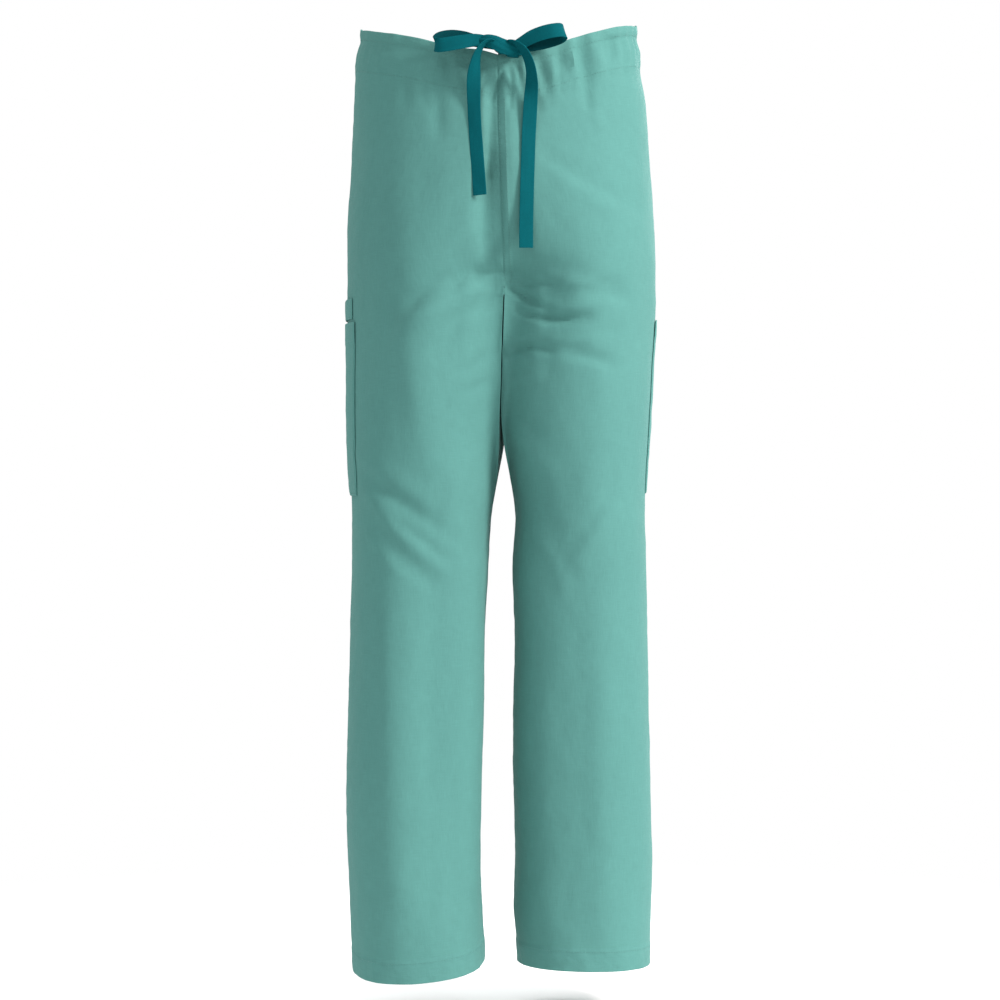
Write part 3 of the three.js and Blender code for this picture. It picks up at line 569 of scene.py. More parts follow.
def relief(side, face, level, angle, point, way, seam_reach):
    """How far the cloth stands off the plain surface, in all its folds, gathers and sewn edges."""
    x, z = point[..., 0], point[..., 2]
    towards = smooth((way[..., 1] * face + 0.15) / 0.5)
    large, small = (FRONT_FOLDS, FRONT_CREASES) if face == FRONT else (BACK_FOLDS, BACK_CREASES)
    gain = FOLD_GAIN[face]
    off = gain * towards * (fold_height(large, side, x, z) + fold_height(small, side, x, z))
    full = bell((np.abs(angle) - FULL_ANGLE) / FULL_SPREAD)
    off += FULLNESS[face] * full * bell((level - FULL_LEVEL) / FULL_REACH)
    off += TURNED_EDGE * (smooth((level - CASING_FOOT + 4) / 8) + smooth((HEM + HEM_DEPTH - level + 1) / 2))
    off -= DRAW_PULL * bell((level - DRAW_LINE) / DRAW_REACH)
    around = np.abs(np.abs(angle) - math.pi / 2) * GATHERS["radius"]
    off += gather_height(side, face, around, level)
    turn = side * angle * LEG_RADIUS
    hang = smooth((CASING_FOOT - 10 - level) / 80)
    for height, wide, wide_slant, long, long_slant, apart, seed in WAVES:
        place = np.stack([turn / wide + level / wide_slant, level / long + turn / long_slant], -1)
        off += height * hang * drift(place + apart * side, seed)
    # The casing swells over the drawstring between its two rows of stitches and puckers above them
    tunnel = smooth((level - CASING_STITCH) / 8) * smooth((HEADER_LINE - level) / 8)
    off += SEWN["tunnel"] * tunnel * (0.6 + 0.4 * drift(np.stack([turn / 9, level / 30], -1), 31))
    header = smooth((level - HEADER_LINE + 3) / 9)
    header_pucker = SEWN["header_pucker"] * drift(np.stack([turn / 8, level / 60], -1), 33)
    off += header * (SEWN["header"] + header_pucker)
    for line, reach, wave in ((CASING_STITCH, 5, 8), (HEADER_LINE, 4, 7), (HEM_STITCH, 5, 8)):
        near = bell((level - line) / reach)
        place = np.stack([turn / wave + (level - line) / 14, level / 200], -1)
        off += SEWN["row_pucker"] * near * drift(place, 40 + wave)
        off -= SEWN["row_pull"] * bell((level - line) / 1.6)
    roped = smooth((HEM_STITCH + 1 - level) / 4)
    off += SEWN["roping"] * roped * drift(np.stack([(turn + 0.8 * level) / 8, level / 90], -1), 51)
    # Side seams and centre seams: a narrow valley, the allowance beside it, and puckers along it
    for far, seed in ((seam_reach["side"], 61), (seam_reach["middle"], 67)):
        off -= SEWN["seam_pull"] * bell(far / 1.2)
        off += SEWN["seam_allowance"] * smooth((SEAM_ALLOWANCE + 1.5 - far) / 2)
        place = np.stack([level / 7.5 + far / 25, far / 60], -1) + 3 * side
        off += SEWN["seam_pucker"] * bell(far / 10) * drift(place, seed)
    # The felled seam on the front stands out on the wearer's left of the centre
    if face == FRONT and side == LEFT:
        felled = smooth((FELLED_WIDTH - seam_reach["middle"]) / 1.2)
        off += SEWN["felled"] * felled * smooth((level - CROTCH + 10) / 12)
    return off


def reaches(side, face, level, angle):
    """Distances round the cloth to the side seam and to the middle seam, roughly."""
    shape = oval(side, level)
    above = np.abs(from_seam(shape, angle)) + shape["half_depth"] * (1 - np.abs(np.sin(angle))) * (np.cos(angle) > 0)
    below = (math.pi - np.abs(angle)) * shape["half_depth"]
    return {"side": np.abs(angle) * shape["half_depth"], "middle": np.where(level > CROTCH, above, below)}


def loose_point(side, face, level, angle, out):
    """Points of the cloth before its seams are closed, and the way out there."""
    point = plain_point(side, level, angle)
    way = way_out(side, face, level, angle)
    off = out + relief(side, face, level, angle, point, way, reaches(side, face, level, angle))
    return point + way * np.asarray(off)[..., None], way


def seam_shifts(side, face, level):
    """How far the edges of a panel move to meet its neighbours, at its side seam and its middle seam."""
    shape = oval(side, level)
    far, near = seam_angle(shape), SEAM_GAP / shape["half_depth"]
    own_side, next_side, own, behind, beside = (
        loose_point(on_side, on_face, level, on_face * angle, 0.0)[0]
        for on_side, on_face, angle in ((side, face, near), (side, -face, near), (side, face, far), (side, -face, far),
                                        (-side, face, seam_angle(oval(-side, level)))))
    gap = CLOSED_GAP / 2
    high = level > CROTCH
    middle = np.where(high[:, None], (own + beside) / 2, (own + behind) / 2)
    middle[:, 0] = np.where(high, shape["seam"] + side * gap, middle[:, 0])
    middle[:, 1] = np.where(high, middle[:, 1], middle[:, 1] + face * gap)
    outer = (own_side + next_side) / 2
    outer[:, 1] += face * gap
    return outer - own_side, middle - own


def cloth_point(side, face, level, angle, out):
    """Points of the cloth and the way out there. Out is the distance from the cloth's outer face."""
    level, angle = np.broadcast_arrays(np.asarray(level, float), np.asarray(angle, float))
    point, way = loose_point(side, face, level, angle, out)
    levels, which = np.unique(level, return_inverse=True)
    outer, middle = (shift[which.reshape(level.shape)] for shift in seam_shifts(side, face, levels))
    reach = reaches(side, face, level, angle)
    point = point + outer * smooth(1 - reach["side"] / SEAM_EASE)[..., None]
    point = point + middle * smooth(1 - reach["middle"] / SEAM_EASE)[..., None]
    seam = at(SEAT, "seam", level)
    own = side * np.maximum(side * (point[..., 0] - seam), CLOSED_GAP / 2)
    point[..., 0] = np.where(level > CROTCH, seam + own, point[..., 0])
    return point, way


# Meshes


def fresh(name):
    """Nothing selected, and the name free."""
    bpy.ops.object.select_all(action="DESELECT")
    return name


def corner_points(mesh):
    """The places of a mesh's points."""
    flat = np.zeros(len(mesh.vertices) * 3)
    mesh.vertices.foreach_get("co", flat)
    return flat.reshape(-1, 3)


def lay_flat(mesh, uv):
    """Gives a mesh the flat place of each of its points, in mm."""
    loops = np.zeros(len(mesh.loops), int)
    mesh.loops.foreach_get("vertex_index", loops)
    layer = mesh.uv_layers.active or mesh.uv_layers.new(name="UVMap")
    layer.data.foreach_set("uv", (uv[loops] * MM).ravel())


def grid_piece(name, points, uv, marks, outwards=None, thickness=0):
    """A sheet from rows by columns of points in mm. Cloth has its ways out and its wall on the inner side."""
    rows, columns = points.shape[:2]
    fresh(name)
    bpy.ops.mesh.primitive_grid_add(x_subdivisions=columns - 1, y_subdivisions=rows - 1, size=2)
    piece = bpy.context.object
    piece.name = piece.data.name = name
    mesh = piece.data
    flat = corner_points(mesh)
    i = np.rint((flat[:, 0] + 1) / 2 * (columns - 1)).astype(int)
    j = np.rint((flat[:, 1] + 1) / 2 * (rows - 1)).astype(int)
    if len(flat) != rows * columns:
        raise RuntimeError(f"{name}: the grid has {len(flat)} points and not {rows * columns}")
    mesh.vertices.foreach_set("co", (points[j, i] * MM).ravel())
    lay_flat(mesh, uv[j, i])
    for mark, values in marks.items():
        mesh.attributes.new(mark, "FLOAT", "POINT").data.foreach_set("value", values[j, i].astype(np.float32))
    mesh.update()
    if outwards is not None:
        middle = mesh.polygons[len(mesh.polygons) // 2]
        corner = middle.vertices[0]
        if np.array(middle.normal) @ outwards[j[corner], i[corner]] < 0:
            bpy.ops.object.mode_set(mode="EDIT")
            bpy.ops.mesh.select_all(action="SELECT")
            bpy.ops.mesh.flip_normals()
            bpy.ops.object.mode_set(mode="OBJECT")
    if thickness:
        wall = piece.modifiers.new("Wall", "SOLIDIFY")
        wall.thickness = thickness * MM
        wall.offset = -1
        wall.use_rim = True
        bpy.ops.object.modifier_apply(modifier=wall.name)
    bpy.ops.object.shade_smooth_by_angle(angle=math.radians(55))
    return piece


def dress(piece, finish, slot, *nodes):
    """Gives a piece its finish and its place in the frame."""
    piece.data.materials.clear()
    piece.data.materials.append(finish)
    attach(piece, "root")
    if nodes:
        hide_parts(*nodes)
    return piece


# Finishes


class Value:
    """A number that varies over a surface. Arithmetic on it adds Math nodes."""

    def __init__(self, finish, socket):
        self.finish, self.socket = finish, socket

    def __add__(self, other):
        return self.finish.maths("ADD", self, other)

    def __sub__(self, other):
        return self.finish.maths("SUBTRACT", self, other)

    def __mul__(self, other):
        return self.finish.maths("MULTIPLY", self, other)

    __radd__ = __add__
    __rmul__ = __mul__


class Finish:
    """A material and the nodes that make it."""

    def __init__(self, name):
        self.material = bpy.data.materials.new(name)
        self.material.use_nodes = True
        self.tree = self.material.node_tree
        self.tree.nodes.clear()
        self.surface = self.node("ShaderNodeBsdfPrincipled")
        self.node("ShaderNodeOutputMaterial", inputs={"Surface": self.surface.outputs[0]})

    def node(self, kind, settings=(), inputs=()):
        """Any node, from its type, its settings and the values or links of its sockets."""
        node = self.tree.nodes.new(kind)
        for name, value in dict(settings).items():
            setattr(node, name, value)
        self.feed(node, inputs)
        return node

    def feed(self, node, inputs):
        for name, value in dict(inputs).items():
            if isinstance(value, Value):
                value = value.socket
            if isinstance(value, bpy.types.NodeSocket):
                self.tree.links.new(value, node.inputs[name])
            else:
                node.inputs[name].default_value = value

    def maths(self, operation, *values):
        return Value(self, self.node("ShaderNodeMath", {"operation": operation}, dict(enumerate(values))).outputs[0])

    def wave(self, value, length):
        """A sine wave of that length along a value."""
        return self.maths("SINE", value * (2 * math.pi / length))

    def parts(self, where):
        """The three parts of a place."""
        return [Value(self, part) for part in self.node("ShaderNodeSeparateXYZ", inputs={0: where}).outputs]

    def flat_place(self):
        """How far across and along the flat cloth or tape, in metres."""
        return self.parts(self.node("ShaderNodeUVMap", {"uv_map": "UVMap"}).outputs[0])[:2]

    def body_place(self):
        """A place on the object."""
        return self.node("ShaderNodeTexCoord").outputs["Object"]

    def place(self, x, y):
        return self.node("ShaderNodeCombineXYZ", inputs={0: x, 1: y, 2: 0.0}).outputs[0]

    def noise(self, where, scale, detail=2.0, rough=0.5):
        node = self.node("ShaderNodeTexNoise", {"noise_dimensions": "3D"},
                         {"Vector": where, "Scale": scale, "Detail": detail, "Roughness": rough})
        return Value(self, node.outputs[0])

    def attribute(self, name):
        return Value(self, self.node("ShaderNodeAttribute", {"attribute_name": name}).outputs["Fac"])

    def span(self, value, low, high, to_low=0.0, to_high=1.0):
        """A value from low to high laid out from to_low to to_high, softly."""
        node = self.node("ShaderNodeMapRange", {"interpolation_type": "SMOOTHSTEP"},
                         {0: value, 1: low, 2: high, 3: to_low, 4: to_high})
        return Value(self, node.outputs[0])

    def shade(self, amount, dark, light):
        """A colour between two others."""
        node = self.node("ShaderNodeMix", {"data_type": "RGBA"}, {0: amount, 6: (*dark, 1), 7: (*light, 1)})
        return node.outputs[2]

    def relief(self, height):
        """A bump from a height in metres."""
        return self.node("ShaderNodeBump", inputs={"Strength": 1.0, "Distance": 1.0, "Height": height}).outputs[0]


def scaled(colour, share):
    return tuple(min(1.0, part * share) for part in colour)


def poplin(name, colour):
    """The jade cloth: a plain weave with slubs, small rumples and puckers at its seams."""
    finish = Finish(name)
    u, v = finish.flat_place()
    body = finish.body_place()
    weave = finish.wave(u, 0.0009) * finish.wave(v, 0.0009)
    slubs_across = finish.noise(finish.place(u * 60, v * 1500), 1.0, 1.0)
    slubs_down = finish.noise(finish.place(u * 1500, v * 60), 1.0, 1.0)
    slubs = slubs_across + slubs_down
    cloudy = finish.noise(body, 9.0, 3.0)
    mottled = finish.noise(body, 70.0, 3.0, 0.6)
    rumple = finish.noise(finish.place(u * 30, v * 16), 1.0, 3.0, 0.55)
    height = weave * 0.00003 + slubs * 0.00007 + rumple * 0.0016 + mottled * 0.00012
    tone = (cloudy - 0.5) * 0.3 + (slubs - 1.0) * 0.55 + (mottled - 0.5) * 0.35 + 0.5
    pucker = finish.attribute("pucker")
    ripple = finish.noise(finish.place(u * 90, v * 130), 1.0, 2.0)
    height = height + ripple * pucker * 0.0011
    tone = tone + (ripple - 0.5) * pucker * 0.35 + finish.attribute("worn") * 0.2
    finish.feed(finish.surface, {
        "Base Color": finish.shade(tone, scaled(colour, 0.86), scaled(colour, 1.14)),
        "Roughness": finish.span(slubs, 0.6, 1.4, 0.86, 0.78),
        "Specular IOR Level": 0.08,
        "Sheen Weight": 0.05,
        "Sheen Roughness": 0.45,
        "Sheen Tint": (0.82, 0.95, 0.92, 1.0),
        "Normal": finish.relief(height),
    })
    return finish.material


def twill_tape(name, colour):
    """The flat drawstring tape: fine ribs along it, crossed by a twill line, and a painted shade where its mark is set.
    """
    finish = Finish(name)
    u, v = finish.flat_place()
    ribs = finish.wave(u, 0.0013)
    zigzag = finish.maths("PINGPONG", u, 0.002)
    twill = finish.wave(v + zigzag * 1.6, 0.0015)
    thread = finish.noise(finish.place(u * 2400, v * 500), 1.0, 2.0)
    cloudy = finish.noise(finish.place(u * 120, v * 35), 1.0, 2.0)
    height = twill * 0.00009 + ribs * 0.00003 + thread * 0.0001 + cloudy * 0.0002
    # Painted shade: the tone is darkened by the loop's mark, where the front band of a loop shades its back band.
    tone = twill * 0.16 + (thread - 0.5) * 0.7 + (cloudy - 0.5) * 0.4 + 0.62 - finish.attribute("painted_loop_shade") * 0.9
    finish.feed(finish.surface, {
        "Base Color": finish.shade(tone, scaled(colour, 0.5), scaled(colour, 1.3)),
        "Roughness": finish.span(thread, 0.3, 0.7, 0.85, 0.7),
        "Specular IOR Level": 0.04,
        "Normal": finish.relief(height),
    })
    return finish.material


def sewing_thread(name, colour):
    """The thread: two plies twisted round each other."""
    finish = Finish(name)
    body = finish.body_place()
    x, y, z = finish.parts(body)
    twist = finish.wave(x + y + z, 0.0008)
    fuzz = finish.noise(body, 900.0, 2.0)
    finish.feed(finish.surface, {
        "Base Color": finish.shade(twist * 0.25 + fuzz * 0.5 + 0.25, scaled(colour, 0.8), scaled(colour, 1.2)),
        "Roughness": finish.span(fuzz, 0.3, 0.7, 0.7, 0.55),
        "Normal": finish.relief(twist * 0.00004 + fuzz * 0.00005),
    })
    return finish.material


def studio_floor(name):
    """A pale floor that fades out round its edge."""
    finish = Finish(name)
    body = finish.body_place()
    x, y, _ = finish.parts(body)
    far = finish.maths("SQRT", x * x + y * y)
    grain = finish.noise(body, 30.0, 3.0)
    finish.feed(finish.surface, {
        "Base Color": finish.shade(grain, (0.95, 0.95, 0.945), (0.97, 0.97, 0.97)),
        "Roughness": finish.span(grain, 0.3, 0.7, 0.62, 0.7),
        "Alpha": finish.span(far, 0.35, 1.3, 1.0, 0.0),
    })
    return finish.material


def finish_named(name):
    """A finish, made on first use."""
    made = bpy.data.materials.get(name)
    if made:
        return made
    colours = bpy.context.scene.scrub_colours
    makers = {
        "jade_poplin": lambda: poplin(name, colours.cloth),
        "jade_poplin_trim": lambda: poplin(name, scaled(colours.cloth, 1.03)),
        "teal_tape": lambda: twill_tape(name, colours.tape),
        "jade_thread": lambda: sewing_thread(name, colours.thread),
        "studio_floor": lambda: studio_floor(name),
    }
    return makers[name]()


# Pieces

PANEL_COLUMNS = 84
ROLL = (0.25, 0.5, 0.75)  # the shares of a half turn round a turned edge


def panel_rows():
    """The rows of a panel from the turned-in casing over the waist edge, down the leg and up within the hem."""
    level, out = [], []
    for step in np.linspace(CASING_FOOT, WAIST_TOP - 1, 12):
        level.append(step)
        out.append(-mix(1.9, CASING_WALL - 0.7, smooth((WAIST_TOP - 2 - step) / 14)))
    for turn in ROLL:
        level.append(WAIST_TOP + 0.3 * math.sin(math.pi * turn))
        out.append(-0.95 * (1 + math.cos(math.pi * turn)))
    stretches = ((WAIST_TOP, CASING_FOOT + 1, 34), (CASING_FOOT, CASING_FOOT - 6, 6), (CASING_FOOT - 8, -96, 26),
                 (-99.5, HEM + HEM_DEPTH + 5, 262), (HEM + HEM_DEPTH + 3, HEM, 20))
    for start, end, steps in stretches:
        level.extend(np.linspace(start, end, steps))
        out.extend([0.0] * steps)
    for turn in ROLL:
        level.append(HEM - 0.3 * math.sin(math.pi * turn))
        out.append(-0.8 * (1 - math.cos(math.pi * turn)))
    for step in np.linspace(HEM + 1, HEM + HEM_DEPTH, 7):
        level.append(step)
        out.append(-1.6)
    return np.array(level), np.array(out)


def round_shares(columns):
    """Shares across a panel from the middle seam to the side seam, closer together at both."""
    t = np.linspace(0, 1, columns + 1)
    return t - 0.11 * np.sin(2 * math.pi * t)


def lengths(points):
    """Distances along each row of points."""
    steps = np.linalg.norm(np.diff(points, axis=1), axis=-1)
    return np.concatenate([np.zeros((len(points), 1)), np.cumsum(steps, axis=1)], axis=1)


def panel_points(side, face):
    """The levels and angles of a panel's points, the points and the ways out there."""
    level, out = (column[:, None] for column in panel_rows())
    shape = oval(side, level)
    angle = face * mix(seam_angle(shape), SEAM_GAP / shape["half_depth"], round_shares(PANEL_COLUMNS))
    level, out = np.broadcast_to(level, angle.shape), np.broadcast_to(out, angle.shape)
    return level, angle, *cloth_point(side, face, level, angle, out)


def seam_marks(side, face, level, angle):
    """How much a place puckers, and how much its raised edges are worn pale."""
    reach = reaches(side, face, level, angle)
    pucker = np.maximum.reduce([
        bell(reach["side"] / 9), bell(reach["middle"] / 9), 0.9 * bell((level - CASING_STITCH) / 7),
        0.9 * smooth((level - HEADER_LINE + 4) / 5), 0.9 * smooth((HEM_STITCH + 6 - level) / 6),
        0.45 * smooth((level - CASING_FOOT) / 8),
    ])
    worn = np.maximum.reduce([
        bell((level - WAIST_TOP) / 1.2), bell((level - HEM) / 1.2), 0.3 * bell((reach["side"] - 3) / 2),
    ])
    return {"pucker": pucker, "worn": worn}


def sew_panel(side, face):
    """One trouser panel, from the waist edge to the hem and from the side seam to the middle."""
    level, angle, point, way = panel_points(side, face)
    across = lengths(point)
    across = across[:, -1:] - across
    uv = np.stack([across * side * face + 400 * face, level], -1)
    name = f"{FACE_NAMES[face]}_{SIDE_NAMES[side]}"
    piece = grid_piece(f"cloth_{name}", point, uv, seam_marks(side, face, level, angle), way,
                       bpy.context.scene.scrub_sizes.cloth_thickness / MM)
    dress(piece, finish_named("jade_poplin"), "cloth", name)
    return piece


def patch_place(place, down, across):
    """The levels, angles and heights off the cloth of a patch, by shares down and across it."""
    level = mix(place["top"], place["foot"], down)
    angle = np.radians(mix(place["from"], place["to"], across) + place["slant"] * (0.5 - down))
    bulge = place["bulge"] * np.sin(math.pi * across) * np.sin(math.pi * down) ** 0.5
    return level, angle, PATCH_LIFT + place["wall"] + bulge


def over_side(side, level, angle, out):
    """Points on both sides of the side seam and the ways out there."""
    front, front_way = cloth_point(side, FRONT, level, np.where(angle < 0, angle, -1e-4), out)
    back, back_way = cloth_point(side, BACK, level, np.where(angle < 0, 1e-4, angle), out)
    ahead = (angle < 0)[..., None]
    return np.where(ahead, front, back), np.where(ahead, front_way, back_way)


def patch_points(side, place, rows, columns):
    """A patch over the side seam: its rim turns down to the cloth and its middle stands off it."""
    down, across = np.linspace(0, 1, rows + 1)[:, None], np.linspace(0, 1, columns + 1)[None, :]
    down = down - 0.09 * np.sin(2 * math.pi * down)
    across = across - 0.09 * np.sin(2 * math.pi * across)
    down, across = np.broadcast_arrays(down, across)
    level, angle, out = patch_place(place, down, across)
    hem = place["hem"]
    high = abs(place["foot"] - place["top"])
    shape = oval(side, level)
    wide = np.radians(abs(place["to"] - place["from"])) * shape["half_depth"]
    from_edges = np.minimum(across, 1 - across) * wide
    from_foot, from_top = (1 - down) * high, down * high
    nearest = np.minimum(from_edges, from_foot) if hem else from_edges
    out -= 0.9 * (1 - smooth(nearest / place["edge"])) + 0.4 * bell((nearest - PATCH_INSET) / 0.8)
    if hem:
        out += place["step"] * smooth((hem - from_top + 0.6) / 1.2) - 0.35 * bell((from_top - hem + 2.2) / 0.9)
        out += 0.5 * drift(np.stack([across * 4, down * 5], -1), 71) * np.sin(math.pi * across) * np.sin(math.pi * down)
        out += 0.25 * bell(from_top / 30) * drift(np.stack([across * 9, down * 3], -1), 73)
    out += 0.22 * bell((nearest - 3) / 5) * drift(np.stack([across * wide / 8, down * high / 8], -1), 77)
    return level, *over_side(side, level, angle, out), from_edges, from_foot, from_top


def sew_pocket(side):
    """A cargo pocket: a patch with a deep turned hem at its mouth, sewn down on three sides."""
    level, point, way, from_edges, from_foot, from_top = patch_points(side, POCKETS[side], 64, 60)
    uv = np.stack([lengths(point) * side + 900, level], -1)
    nearest = np.minimum(from_edges, from_foot)
    marks = {"pucker": np.maximum(bell((nearest - 2) / 6), 0.7 * bell((from_top - POCKET["hem"]) / 6)),
             "worn": np.maximum(bell(nearest / 1.2), bell(from_top / 1.2))}
    name = f"cargo_pocket_{SIDE_NAMES[side]}"
    piece = grid_piece(f"sewn_{name}", point, uv, marks, way, PATCH_CLOTH)
    dress(piece, finish_named("jade_poplin_trim"), "cloth", name)
    return piece


def sew_tool_loop():
    """The short strap above the right pocket, caught down at its two ends."""
    level, point, way, from_edges, _, _ = patch_points(RIGHT, TOOL_LOOP, 12, 44)
    uv = np.stack([lengths(point) + 1300, level], -1)
    marks = {"pucker": bell(from_edges / 8), "worn": bell(from_edges / 1.5)}
    piece = grid_piece("sewn_tool_loop", point, uv, marks, way, PATCH_CLOTH)
    dress(piece, finish_named("jade_poplin_trim"), "cloth", "tool_loop")
    return piece


# Stitches


def run_along(points):
    """Distances along a line of points."""
    return np.concatenate([[0], np.cumsum(np.linalg.norm(np.diff(points, axis=0), axis=1))])


def between_points(where, run, points):
    """The point at a distance along a line."""
    return np.array([np.interp(where, run, points[:, k]) for k in range(3)])


def stitch_shape():
    """One stitch a millimetre long, to be stretched and copied along a row."""
    fresh("stitch")
    bpy.ops.mesh.primitive_ico_sphere_add(subdivisions=1, radius=0.5)
    piece = bpy.context.object
    corners = np.array([list(v.co) for v in piece.data.vertices])
    faces = np.array([list(p.vertices) for p in piece.data.polygons])
    bpy.data.objects.remove(piece)
    return corners, faces


def stitched(name, lines, length, gap, width=0.55):
    """Rows of stitches in one mesh. Each line is its points and the ways out, in mm."""
    corners, faces = stitch_shape()
    all_points, all_faces, count = [], [], 0
    for points, ways in lines:
        run = run_along(points)
        for middle in np.arange(length / 2, run[-1] - length / 2, length + gap):
            spot, out = between_points(middle, run, points), between_points(middle, run, ways)
            start, end = (between_points(middle + part * length / 2, run, points) for part in (-1, 1))
            ahead = unit(end - start)
            out = unit(out - ahead * (out @ ahead))
            aside = np.cross(out, ahead)
            tone = 1 + 0.12 * (uneven(count + 0.5) - 0.5)
            size = np.array([length * tone, width, width * 0.8])
            local = corners * size
            all_points.append(spot + local[:, :1] * ahead + local[:, 1:2] * aside + local[:, 2:] * out)
            all_faces.append(faces + len(corners) * count)
            count += 1
    fresh(name)
    mesh = bpy.data.meshes.new(name)
    mesh.from_pydata((np.concatenate(all_points) * MM).tolist(), [], np.concatenate(all_faces).tolist())
    piece = bpy.data.objects.new(name, mesh)
    bpy.context.scene.collection.objects.link(piece)
    piece.select_set(True)
    bpy.context.view_layer.objects.active = piece
    bpy.ops.object.shade_smooth()
    dress(piece, finish_named("jade_thread"), "cloth")
    return piece


STITCH_RISE = 0.1


def level_line(side, face, level):
    """A line round one panel at one level."""
    angle = face * np.linspace(float(seam_angle(oval(side, level))) - 0.012, 0.012, 240)
    return cloth_point(side, face, np.full(angle.shape, float(level)), angle, STITCH_RISE)


def upright_line(side, face, from_level, to_level, reach):
    """A line down a panel at a distance from its middle seam."""
    level = np.linspace(from_level, to_level, 200)
    return cloth_point(side, face, level, face * angle_off_seam(oval(side, level), reach, 0.01, 30), STITCH_RISE)


def patch_line(side, place, rise, downs, acrosses):
    """A line over a patch, by its shares down and across."""
    level, angle, out = patch_place(place, downs, acrosses)
    return over_side(side, level, angle, out + rise)


def pocket_lines(side):
    """The pocket's rows: down both sides and along the foot, and the hem of its mouth."""
    place = POCKETS[side]
    high = place["top"] - place["foot"]
    wide = math.radians(place["to"] - place["from"]) * 112
    a, b, foot = PATCH_INSET / wide, 1 - PATCH_INSET / wide, 1 - PATCH_INSET / high
    downs = np.concatenate([np.linspace(0.01, foot, 120), np.full(90, foot), np.linspace(foot, 0.01, 120)])
    acrosses = np.concatenate([np.full(120, a), np.linspace(a, b, 90), np.full(120, b)])
    hem = (place["hem"] - 2.2) / high
    return [patch_line(side, place, -0.3, downs, acrosses),
            patch_line(side, place, 0.25, np.full(90, hem), np.linspace(a, b, 90))]


def loop_lines():
    """The bar tacks at both ends of the tool loop and a row along each edge."""
    tacks = [patch_line(RIGHT, TOOL_LOOP, -0.15, np.linspace(0.06, 0.94, 40), np.full(40, across))
             for across in (0.025, 0.05, 0.95, 0.975)]
    edges = [patch_line(RIGHT, TOOL_LOOP, 0.0, np.full(80, down), np.linspace(0.06, 0.94, 80)) for down in (0.1, 0.9)]
    return tacks + edges


# Drawstring


def curve_through(points, steps):
    """Points along a smooth curve through others, closer where they are close."""
    knots = np.concatenate([[0], np.cumsum(np.linalg.norm(np.diff(points, axis=0), axis=1) ** 0.5)])
    padded = np.concatenate([[2 * points[0] - points[1]], points, [2 * points[-1] - points[-2]]])
    times = np.concatenate([[2 * knots[0] - knots[1]], knots, [2 * knots[-1] - knots[-2]]])
    where = np.linspace(0, len(points) - 1, steps)
    k = np.minimum(where.astype(int), len(points) - 2)
    t = knots[k] + (where - k) * (knots[k + 1] - knots[k])
    p = [padded[k + n] for n in range(4)]
    s = [times[k + n] for n in range(4)]

    def between(a, b, ta, tb):
        return a + (b - a) * ((t - ta) / (tb - ta))[:, None]

    a1, a2, a3 = between(p[0], p[1], s[0], s[1]), between(p[1], p[2], s[1], s[2]), between(p[2], p[3], s[2], s[3])
    b1, b2 = between(a1, a2, s[0], s[2]), between(a2, a3, s[1], s[3])
    return between(b1, b2, s[1], s[2]), where


def tape_line(rows, steps):
    """The middle line of a tape from its table, with each point's place in the table and the way ahead."""
    middle, where = curve_through(np.stack([rows[axis] for axis in "xyz"], -1), steps)
    return middle, where, unit(np.gradient(middle, axis=0))


def square_to(ahead, upright):
    """The way that is square to a line and nearest to upright."""
    return unit(upright - ahead * np.sum(upright * ahead, -1, keepdims=True))


def column_along(rows, name, where):
    return np.interp(where, np.arange(len(rows[name])), rows[name])


TAPE_COLUMNS = 12


def ribbon(name, middle, across, facing, width, cup, uv_start, fold=None, shaded=None):
    """A flat tape along its middle line, a little cupped across, with its edges rounded."""
    share = np.linspace(-0.5, 0.5, TAPE_COLUMNS + 1)
    share = np.sign(share) * (0.5 - (0.5 - np.abs(share)) ** 1.15 * 0.5 ** -0.15)
    run = run_along(middle)
    body = middle[:, None] + across[:, None] * (share[None, :, None] * width[:, None, None])
    lift = cup[:, None] * (0.25 - share[None, :] ** 2) * 4
    lift = lift + 0.12 * np.sin(run[:, None] / 7.3 + 3 * share[None, :])
    if fold:
        lift = lift + fold(run[:, None], share[None, :])
    body = body + facing[:, None] * lift[..., None]
    uv = np.stack([np.broadcast_to(share * TAPE_WIDTH, body.shape[:2]),
                   np.broadcast_to(run[:, None] + uv_start, body.shape[:2])], -1)
    # The shaded mark is a painted shade, carried into the tape's colour.
    painted_loop_shade = np.zeros(len(middle)) if shaded is None else shaded
    piece = grid_piece(name, body, uv, {"painted_loop_shade": np.broadcast_to(painted_loop_shade[:, None], body.shape[:2])})
    wall = piece.modifiers.new("Wall", "SOLIDIFY")
    wall.thickness = TAPE_THICK * 0.85 * MM
    wall.offset = 0
    edge = piece.modifiers.new("Edges", "BEVEL")
    edge.width = 0.28 * MM
    edge.segments = 2
    edge.limit_method = "ANGLE"
    edge.angle_limit = math.radians(50)
    for modifier in ("Wall", "Edges"):
        bpy.ops.object.modifier_apply(modifier=modifier)
    bpy.ops.object.shade_smooth_by_angle(angle=math.radians(50))
    return piece


def tie_loop(side):
    """One loop of the bow. The tape stands on its edge and is pinched where it enters the knot. Its back band, past the
    turn, is darkened with a painted shade.
    """
    rows = LOOPS[side]
    middle, where, ahead = tape_line(rows, 90)
    lean = np.radians(column_along(rows, "lean", where))
    across = square_to(ahead, np.stack([np.sin(lean), np.zeros_like(lean), np.cos(lean)], -1))
    facing = np.cross(ahead, across)
    pinch = column_along(rows, "pinch", where)
    pleat = 1.5 * smooth((1 - pinch) / 0.4)
    # Painted shade on the back band of the loop, past its turn, where the front band shades it.
    turned = smooth((where - 6.5) / 1.5)
    piece = ribbon(f"tied_loop_{SIDE_NAMES[side]}", middle, across, facing, TAPE_WIDTH * pinch, 0.35 + pleat,
                   300 * side + 400, shaded=turned)
    dress(piece, finish_named("teal_tape"), "tape", f"drawstring_loop_{SIDE_NAMES[side]}")
    return piece


